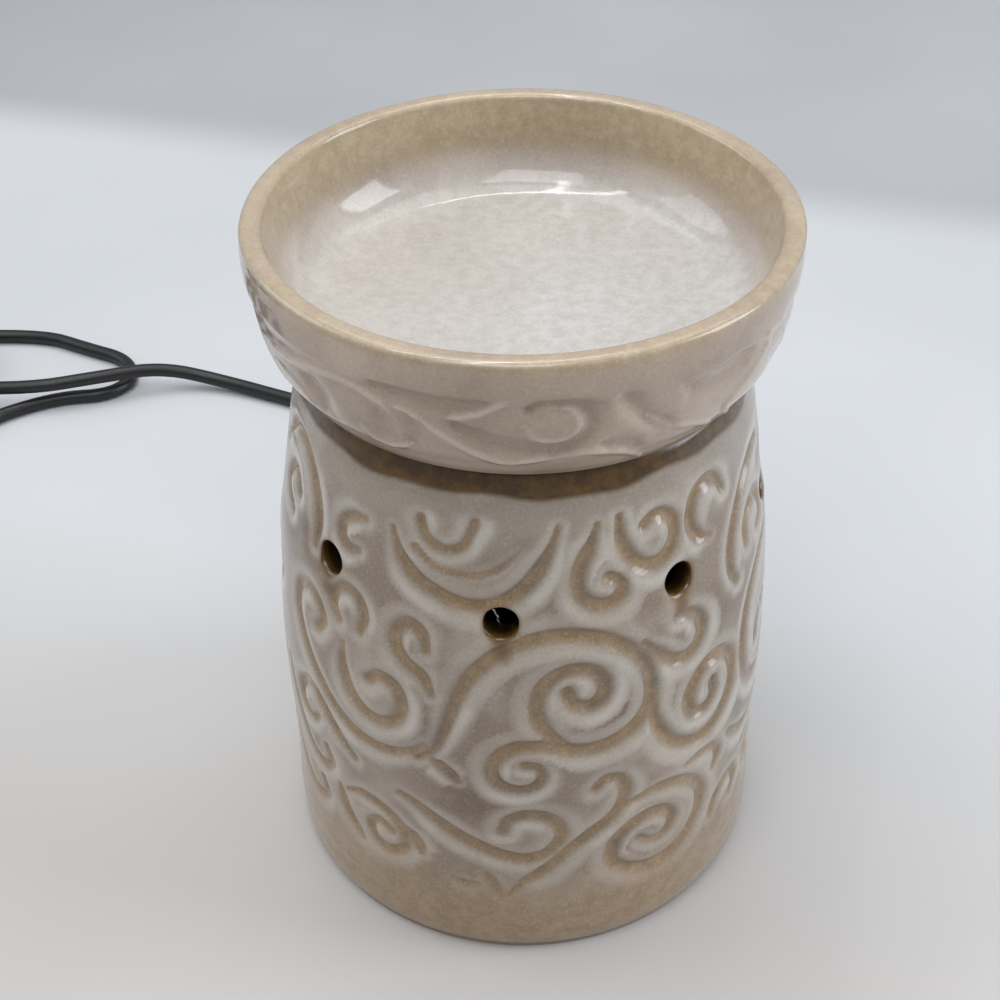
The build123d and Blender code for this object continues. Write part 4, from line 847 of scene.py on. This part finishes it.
DISH_KNOTS = [140.2, 141, 142, 144.5, 147, 150, 153, 156, 158, 160, 161.2, 162.4, 164, 168, 170.2]
DISH_RADII = [51.4, 52.0, 52.8, 54.5, 56.2, 57.3, 58.0, 58.6, 58.8, 58.9, 59.2, 59.7, 59.9, 60.0, 59.8]
DISH_COLUMNS = 480
DISH_ROWS = np.concatenate([np.linspace(140.2, 164.2, 62), np.linspace(165.2, 170.2, 6)])
DISH_FOOT, LIP_BAND = (141.0, 142.6), (162.4, 164.4)  # heights where the folds fade
DISH_INSET = 0.25  # keeps the waves of the dish inside its solid
CROWN_RADIUS, CROWN_HALF_WIDTH, CROWN_LEVEL, CROWN_RISE = 57.3, 2.4, 170.2, 1.75
CROWN_BLUNTNESS = 0.75  # power under 1 that squares a half round
BOWL = np.array([
    (54.6, 169.0), (54.3, 167.2), (53.9, 165), (53.3, 162.4), (52.6, 160), (51.8, 157.6),
    (50.7, 155.4), (49.1, 153.3), (47.2, 151.9), (45.0, 151.0), (42, 150.45), (38, 150.1),
    (33, 149.95), (27, 149.85), (20, 149.8), (12, 149.78), (5, 149.76),
])
DISH_UNDER = np.array([
    (5, 144), (20, 144), (34, 144), (39.2, 143.6), (39.2, 135.9), (39.7, 135.5), (42.7, 135.5),
    (43.2, 136.0), (43.2, 139.6), (45, 139.5), (49.0, 139.5), (50.6, 139.7),
])
DISH_POLES = np.array([(0, 0, 149.75), (0, 0, 144.0)])
POOL_SHARE = 0.77  # how far the pooled white covers the floor


def dish_colour(azimuth, height, turn, hollow, raised, inside):
    """Masks of the dish's glaze, one part each for its outside, lip, bowl and underside.

    It is thin and tan on the lip and high in the bowl, and pools white on the floor, the most at
    the front right. On the outside, painted shade darkens the hollows of the folds and a painted
    highlight whitens their raised lines.
    """
    wave = waves(azimuth, (0.5, 6, 0), (0.5, 13, 50))
    around = np.radians(azimuth)
    crown, bowl, under = (np.zeros((len(part), DISH_COLUMNS)) for part in (turn, BOWL, DISH_UNDER))
    depth = BOWL[:, 1:]
    bowl_cut = 0.7 * soft(depth, 154, 164) * (1 - soft(depth, 166, 169.5)) + bowl
    pool = (1 - soft(depth, 150.2, 163)) * (POOL_SHARE + 0.11 * np.sin(around) + 0.07 * np.cos(around))
    return {
        # Outside: painted shade in the fold hollows, painted highlight on the raised lines.
        "tan_and_shade": [0.6 * hollow * inside, crown, bowl_cut, under],
        "halo_and_light": [0.8 * raised * inside, crown, bowl, under],
        "thin": [
            0.12 + 0.5 * soft(height + 0.6 * wave, 168.0, 170.2),
            0.66 + 0.14 * np.cos(turn * 2)[:, None] + 0.08 * wave,
            0.9 * soft(depth, 153, 168) + 0.04 * wave,
            under + 0.6,
        ],
        "ring": [1.0 - soft(height, 139.9, 140.9), crown, bowl, under + 0.7],
        "pool": [0 * height, crown, pool, under],
    }


def shape_dish():
    """Closed turned shape: folded outside, plain lip band, round lip, bowl, and underside."""
    azimuth = np.arange(DISH_COLUMNS) * (360 / DISH_COLUMNS)
    radius = smooth_line(DISH_ROWS, DISH_KNOTS, DISH_RADII)
    grid_azimuth, grid_height = np.meshgrid(azimuth, DISH_ROWS)
    relief, hollow, raised = fold_relief(grid_azimuth, grid_height)
    inside = soft(grid_height, *DISH_FOOT) * (1 - soft(grid_height, *LIP_BAND))
    hand = waves(azimuth, (0.12, 3, 20), (0.07, 8, 0))
    wall = radius[:, None] + relief * inside - DISH_INSET + hand * soft(grid_height, 158, 163)
    turn = np.linspace(0, np.pi, 13)[1:]
    squared = np.sign(np.cos(turn)) * abs(np.cos(turn)) ** CROWN_BLUNTNESS
    crown_radius = CROWN_RADIUS + CROWN_HALF_WIDTH * squared
    crown_height = CROWN_LEVEL + CROWN_RISE * np.sin(turn) ** CROWN_BLUNTNESS
    lip_wave = waves(azimuth, (0.14, 2, 60), (0.08, 5, 0)) - 0.14
    crown_azimuth, crown_level = np.meshgrid(azimuth, crown_height)
    crown = turned_points(crown_radius[:, None] + 0.6 * hand, crown_azimuth, crown_level + lip_wave)
    rest = np.concatenate([BOWL, DISH_UNDER])
    rest_points = turned_points(rest[:, :1], *np.meshgrid(azimuth, rest[:, 1]))
    outer = turned_points(wall, grid_azimuth, grid_height)
    cloud = np.concatenate([outer, crown, rest_points]).reshape(-1, 3)
    floor_row = len(DISH_ROWS) + len(turn) + len(BOWL) - 1
    quads = grid_quads(floor_row + 1 + len(DISH_UNDER), DISH_COLUMNS, True, True)
    quads = quads[quads[:, 0] // DISH_COLUMNS != floor_row]
    here = np.arange(DISH_COLUMNS)
    there = (here + 1) % DISH_COLUMNS
    floor, under = floor_row * DISH_COLUMNS, (floor_row + 1) * DISH_COLUMNS
    top_pole, low_pole = np.full(DISH_COLUMNS, len(cloud)), np.full(DISH_COLUMNS, len(cloud) + 1)
    triangles = np.concatenate([
        np.stack([floor + here, floor + there, top_pole], -1),
        np.stack([under + there, under + here, low_pole], -1),
    ])
    masks = dish_colour(azimuth, grid_height, turn, hollow, raised, inside)
    full = {
        key: np.concatenate([part.ravel() for part in parts] + [[POOL_SHARE * (key == "pool"), 0.0]])
        for key, parts in masks.items()
    }
    return np.concatenate([cloud, DISH_POLES]), quads, triangles, full


cloud, quads, triangles, fields = shape_dish()
dish_piece = make_piece(
    "stoneware_dish", cloud, quads, GLAZE_DISH, "dish", fields, triangles
)
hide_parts("wax_dish")


# Mains lead. The points of each route are listed, and those of the hank's turns
# come from the shape of the loop: a fold round each end and a waist drawn in between.

LEAD_DIAMETER = 4.6
RUN_ROUTE = [
    (0.0, 84.9, 6.0), (0.0, 97.0, 6.0), (-7.0, 123.0, 2.6), (-22.5, 145.0, 2.4), (-48.0, 161.5, 2.4),
    (-78.0, 174.0, 2.4), (-105.0, 185.5, 3.2), (-126.0, 186.0, 8.6), (-146.0, 178.5, 9.6),
    (-172.0, 171.5, 9.0),
]
TAIL_ROUTE = [
    (-176.0, 217.5, 2.4), (-156.0, 207.0, 2.4), (-141.5, 200.5, 2.4), (-136.5, 188.0, 2.4),
    (-143.5, 178.0, 2.4), (-161.0, 176.5, 2.4), (-181.0, 165.0, 2.4), (-190.0, 151.0, 3.6),
]
LEAD_ROUTE = [(-287.0, 115.0, 3.6), (-286.0, 97.0, 3.6)]

# Hank: where it lies, its folds and waist, the pitch of its turns, the heights of its two layers,
# how many runs it has, and which of them climbs down from the upper layer
HANK_CENTRE, HANK_TURN = (-246.0, 190.0), np.radians(8.0)
FOLD_OFFSET, FOLD_RADIUS, WAIST, PITCH = 35.0, 13.8, 5.4, 5.15
HANK_LOW, HANK_RISE = 3.3, 5.15
HANK_RUNS, CLIMB_RUN = 8, 3

# Tie: its clearance beside, over and under the lead, its half-sizes, and its bluntness
TIE_BESIDE, TIE_OVER, TIE_UNDER = 0.65, 0.65, 0.62
TIE_HALF_WIDTH, TIE_HALF_THICKNESS, TIE_CORNER = 1.9, 0.3, 0.18
TIE_BLUNTNESS = 0.45

# Switch and plug: places of their middles and faces, and where the lead meets them
SWITCH_CENTRE, SWITCH_TURN = np.array((-236.0, 138.0, 7.0)), np.radians(194.0)
SWITCH_LENGTH, SWITCH_SOCKET, SWITCH_LEAD_IN = 52.0, 9.0, 34.0
PLUG_FACE, PLUG_TURN = np.array((-214.0, 92.0, 6.75)), np.radians(4.0)
PLUG_LENGTH, PLUG_LEAD_IN = 51.0, 9.0


def arc(centre, start_point, end_point, count):
    """Points along the shorter arc about centre, its first and last left to its neighbours."""
    first, last = start_point - centre, end_point - centre
    begin, finish = np.arctan2(first[1], first[0]), np.arctan2(last[1], last[0])
    sweep = (finish - begin + np.pi) % (2 * np.pi) - np.pi
    turn = begin + sweep * (np.arange(count) + 0.5) / count
    radius = np.linalg.norm(first) * (1 + 0.5 * (sweep / count / 2) ** 2)
    return centre + radius * np.stack([np.cos(turn), np.sin(turn)], -1)


def quarter_turn(quarter, start_offset, end_offset):
    """Fold arc and waist arc of one quarter of the loop, in the hank's own axes."""

    def knot(which, offset):
        end, side = FOLD_OFFSET + FOLD_RADIUS + offset, WAIST + offset
        place = ((end, 0), (0, -side), (-end, 0), (0, side))[which % 4]
        return np.array(place, float)

    first, last = knot(quarter, start_offset), knot(quarter + 1, end_offset)
    fold_first = quarter % 2 == 0
    apex, waist = (first, last) if fold_first else (last, first)
    radius = FOLD_RADIUS + (start_offset if fold_first else end_offset)
    fold_centre = apex * (1 - radius / np.linalg.norm(apex))
    outward = waist / np.linalg.norm(waist)
    across = waist - fold_centre
    bend = (across @ across - radius**2) / (2 * (radius - outward @ across))
    bend_centre = waist + outward * bend
    joint = fold_centre + (bend_centre - fold_centre) * radius / np.linalg.norm(bend_centre - fold_centre)
    fold = arc(fold_centre, apex, joint, 4) if fold_first else arc(fold_centre, joint, apex, 4)
    waist_arc = arc(bend_centre, joint, waist, 3) if fold_first else arc(bend_centre, waist, joint, 3)
    return [fold, waist_arc] if fold_first else [waist_arc, fold]


def on_hank(along, across, height):
    """Points in the hank's own axes, moved to where it lies on the table."""
    cos, sin = np.cos(HANK_TURN), np.sin(HANK_TURN)
    x = HANK_CENTRE[0] + along * cos - across * sin
    y = HANK_CENTRE[1] + along * sin + across * cos
    return np.stack([x, y, height], -1)


def hank_points():
    """Upper layer wound inwards, one run that climbs down, and the lower layer wound outwards."""
    pieces, heights = [], []
    for run in range(HANK_RUNS):
        lean = PITCH / 4 * (1 if run < CLIMB_RUN else -1)
        middle = PITCH / 2 * abs(run - CLIMB_RUN)
        before, after = middle + lean, middle - lean
        if run == CLIMB_RUN:
            before = after = PITCH / 4
        parts = quarter_turn(2 * run, before, middle) + quarter_turn(2 * run + 1, middle, after)
        if run == 0:
            parts = parts[1:]
        if run == HANK_RUNS - 1:
            parts = parts[:-1]
        for k, part in enumerate(parts):
            share = np.zeros(len(part)) + (run > CLIMB_RUN)
            if run == CLIMB_RUN:
                share = np.array([0.0, 0.0, 1.0, 1.0])[k] + np.zeros(len(part))
                if k in (1, 2):
                    share = soft((np.arange(3) + 0.5 + 3 * (k - 1)) / 6, 0, 1)
            pieces.append(part)
            heights.append(HANK_LOW + HANK_RISE * (1 - share))
    return on_hank(*np.concatenate(pieces).T, np.concatenate(heights))


def lead_piece(name, points):
    """One smooth curve of order 3 with the route's points as its control points."""
    data = bpy.data.curves.new(name, "CURVE")
    data.dimensions = "3D"
    data.bevel_depth, data.bevel_resolution = LEAD_DIAMETER / 2 * MM, 6
    data.resolution_u = 6
    data.use_fill_caps = True
    spline = data.splines.new("NURBS")
    spline.points.add(len(points) - 1)
    weights = np.ones((len(points), 1))
    spline.points.foreach_set("co", np.concatenate([points * MM, weights], 1).ravel())
    spline.use_endpoint_u = True
    spline.order_u = 3
    data.materials.append(PVC)
    piece = show(name, data)
    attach(piece, "warmer")
    return piece


switch_axis = np.array([np.cos(SWITCH_TURN), np.sin(SWITCH_TURN), 0])
plug_axis = np.array([np.cos(PLUG_TURN), np.sin(PLUG_TURN), 0])
port = SWITCH_LENGTH / 2 - SWITCH_SOCKET
plug_back = PLUG_FACE - plug_axis * PLUG_LENGTH
into_switch = [SWITCH_CENTRE - switch_axis * SWITCH_LEAD_IN, SWITCH_CENTRE - switch_axis * port]
out_of_switch = [SWITCH_CENTRE + switch_axis * port, SWITCH_CENTRE + switch_axis * SWITCH_LEAD_IN]
first_length = np.vstack([RUN_ROUTE, hank_points(), TAIL_ROUTE, into_switch])
second_length = np.vstack([out_of_switch, LEAD_ROUTE, [plug_back - plug_axis * PLUG_LEAD_IN, plug_back]])


long_lead = lead_piece("mains_lead", first_length)
short_lead = lead_piece("plug_lead", second_length)
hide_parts("cord_run", "cord_hank", "cord_tail")
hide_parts("cord_lead")


def tie_band():
    """Flat tie round the waist of the hank: a rounded-rectangle loop swept by a flat oval."""

    def blunt(wave):
        """Cosine or sine, flattened so that a circle turns into a rounded rectangle."""
        return np.sign(wave) * abs(wave) ** TIE_BLUNTNESS

    beside = WAIST + LEAD_DIAMETER / 2 + TIE_BESIDE
    near, far = beside + PITCH / 2 * CLIMB_RUN, beside + PITCH / 2 * (CLIMB_RUN + 1)
    low, high = HANK_LOW - LEAD_DIAMETER / 2 - TIE_UNDER, HANK_LOW + HANK_RISE + LEAD_DIAMETER / 2 + TIE_OVER
    turn = np.linspace(0, 2 * np.pi, 96, endpoint=False)
    loop_y = (far - near) / 2 + (far + near) / 2 * blunt(np.cos(turn))
    loop_z = (low + high) / 2 + (high - low) / 2 * blunt(np.sin(turn))
    loop = np.stack([loop_y, loop_z], -1)
    tangent = np.roll(loop, -1, axis=0) - np.roll(loop, 1, axis=0)
    tangent /= np.linalg.norm(tangent, axis=1, keepdims=True)
    normal = np.stack([tangent[:, 1], -tangent[:, 0]], -1)
    ring = np.linspace(0, 2 * np.pi, 16, endpoint=False)
    corner = TIE_CORNER * (abs(np.cos(ring)) < 0.3)
    wide, thick = TIE_HALF_WIDTH * np.cos(ring), (TIE_HALF_THICKNESS + corner) * np.sin(ring)
    across = loop_y[:, None] + normal[:, :1] * thick
    height = loop_z[:, None] + normal[:, 1:] * thick
    points = on_hank(np.broadcast_to(wide, across.shape), across, height)
    return points.reshape(-1, 3), grid_quads(len(turn), len(ring), True, True)[:, ::-1]


points, quads = tie_band()
tie_piece = make_piece("hank_tie", points, quads, MOULDED, "warmer")
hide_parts("cord_tie")


# Table, with a backdrop painted on it, and light


def stage_finish(name, near, middle, far):
    """Seamless paper on one flat sheet, in three tones with painted shade: a little darker at the front of
    the table, darker past a soft crease where the backdrop would rise, and darker still towards the left
    there.
    """
    material, tree, shader, place = start(name)
    axes = add(tree, "SeparateXYZ", [place]).outputs
    slant = add(tree, "Math", [axes["X"], 0.25], operation="MULTIPLY")
    depth = add(tree, "Math", [axes["Y"], slant], operation="ADD")
    # Painted shade: a little darker towards the front.
    colour = over(tree, near, middle, depth, -0.1, 0.14)
    # Painted shade: the far tone darkens towards the left.
    left = add(tree, "MapRange", [axes["X"], -0.35, 0.0, 0.3, 0.0], **EASED)
    shade = over(tree, far, "#6f7174", left)
    colour = over(tree, colour, shade, depth, 0.325, 0.37)
    grain = add(tree, "TexNoise", {"Vector": place, "Scale": 1000 / 180, "Detail": 2, "Roughness": 0.5})
    colour = over(tree, colour, "#ffffff", grain, 0.3, 0.7, 0.15, "SOFT_LIGHT")
    fill(tree, shader, {"Base Color": colour, "Roughness": 0.75})
    return material


TABLE_HALF = 2
corners = [(x * TABLE_HALF, y * TABLE_HALF, 0) for x, y in ((-1, -1), (1, -1), (1, 1), (-1, 1))]
mesh = bpy.data.meshes.new("table_top")
mesh.from_pydata(corners, [], [(0, 1, 2, 3)])
mesh.materials.append(stage_finish("pale seamless paper with painted shade", "#bab7b4", "#bfc2c5", "#a7a9ac"))
board = show("table_top", mesh)

AIM = (0, 0, 0.1)
LAMPS = [  # name, place, size, watts and colour
    ("ceiling_panel", (0.1, 0.5, 1.6), (1.6, 1.2), 8.0, "#ffffff"),
    ("front_panel", (-0.15, -0.7, 1.5), (0.9, 0.9), 8.4, "#ffffff"),
    ("window", (1.3, -0.1, 0.7), (0.6, 1.0), 10.5, "#f2f6ff"),
    ("room_fill", (-1.3, 0.3, 0.9), (0.9, 1.0), 5.6, "#f4f6ff"),
    ("strip_lamp_far", (-0.3, 0.3, 1.5), (1.5, 0.06), 3.2, "#ffffff"),
    ("strip_lamp_near", (-0.2, 0.05, 1.5), (1.1, 0.05), 2.2, "#ffffff"),
]


def soft_light(name, place, size, power, colour):
    """Rectangular area lamp turned towards the part."""
    data = bpy.data.lights.new(name, "AREA")
    data.shape = "RECTANGLE"
    data.size, data.size_y = size
    data.energy = power
    data.color = linear(colour)[:3]
    lamp = show(name, data)
    lamp.location = place
    lamp.rotation_euler = (Vector(AIM) - Vector(place)).to_track_quat("-Z", "Y").to_euler()


for lamp_row in LAMPS:
    soft_light(*lamp_row)

world = bpy.data.worlds.new("room")
world.use_nodes = True
bpy.context.scene.world = world
background = world.node_tree.nodes["Background"]
background.inputs["Color"].default_value = linear("#e6e8ea")
background.inputs["Strength"].default_value = 0.46
bpy.context.scene.view_settings.view_transform = "Standard"
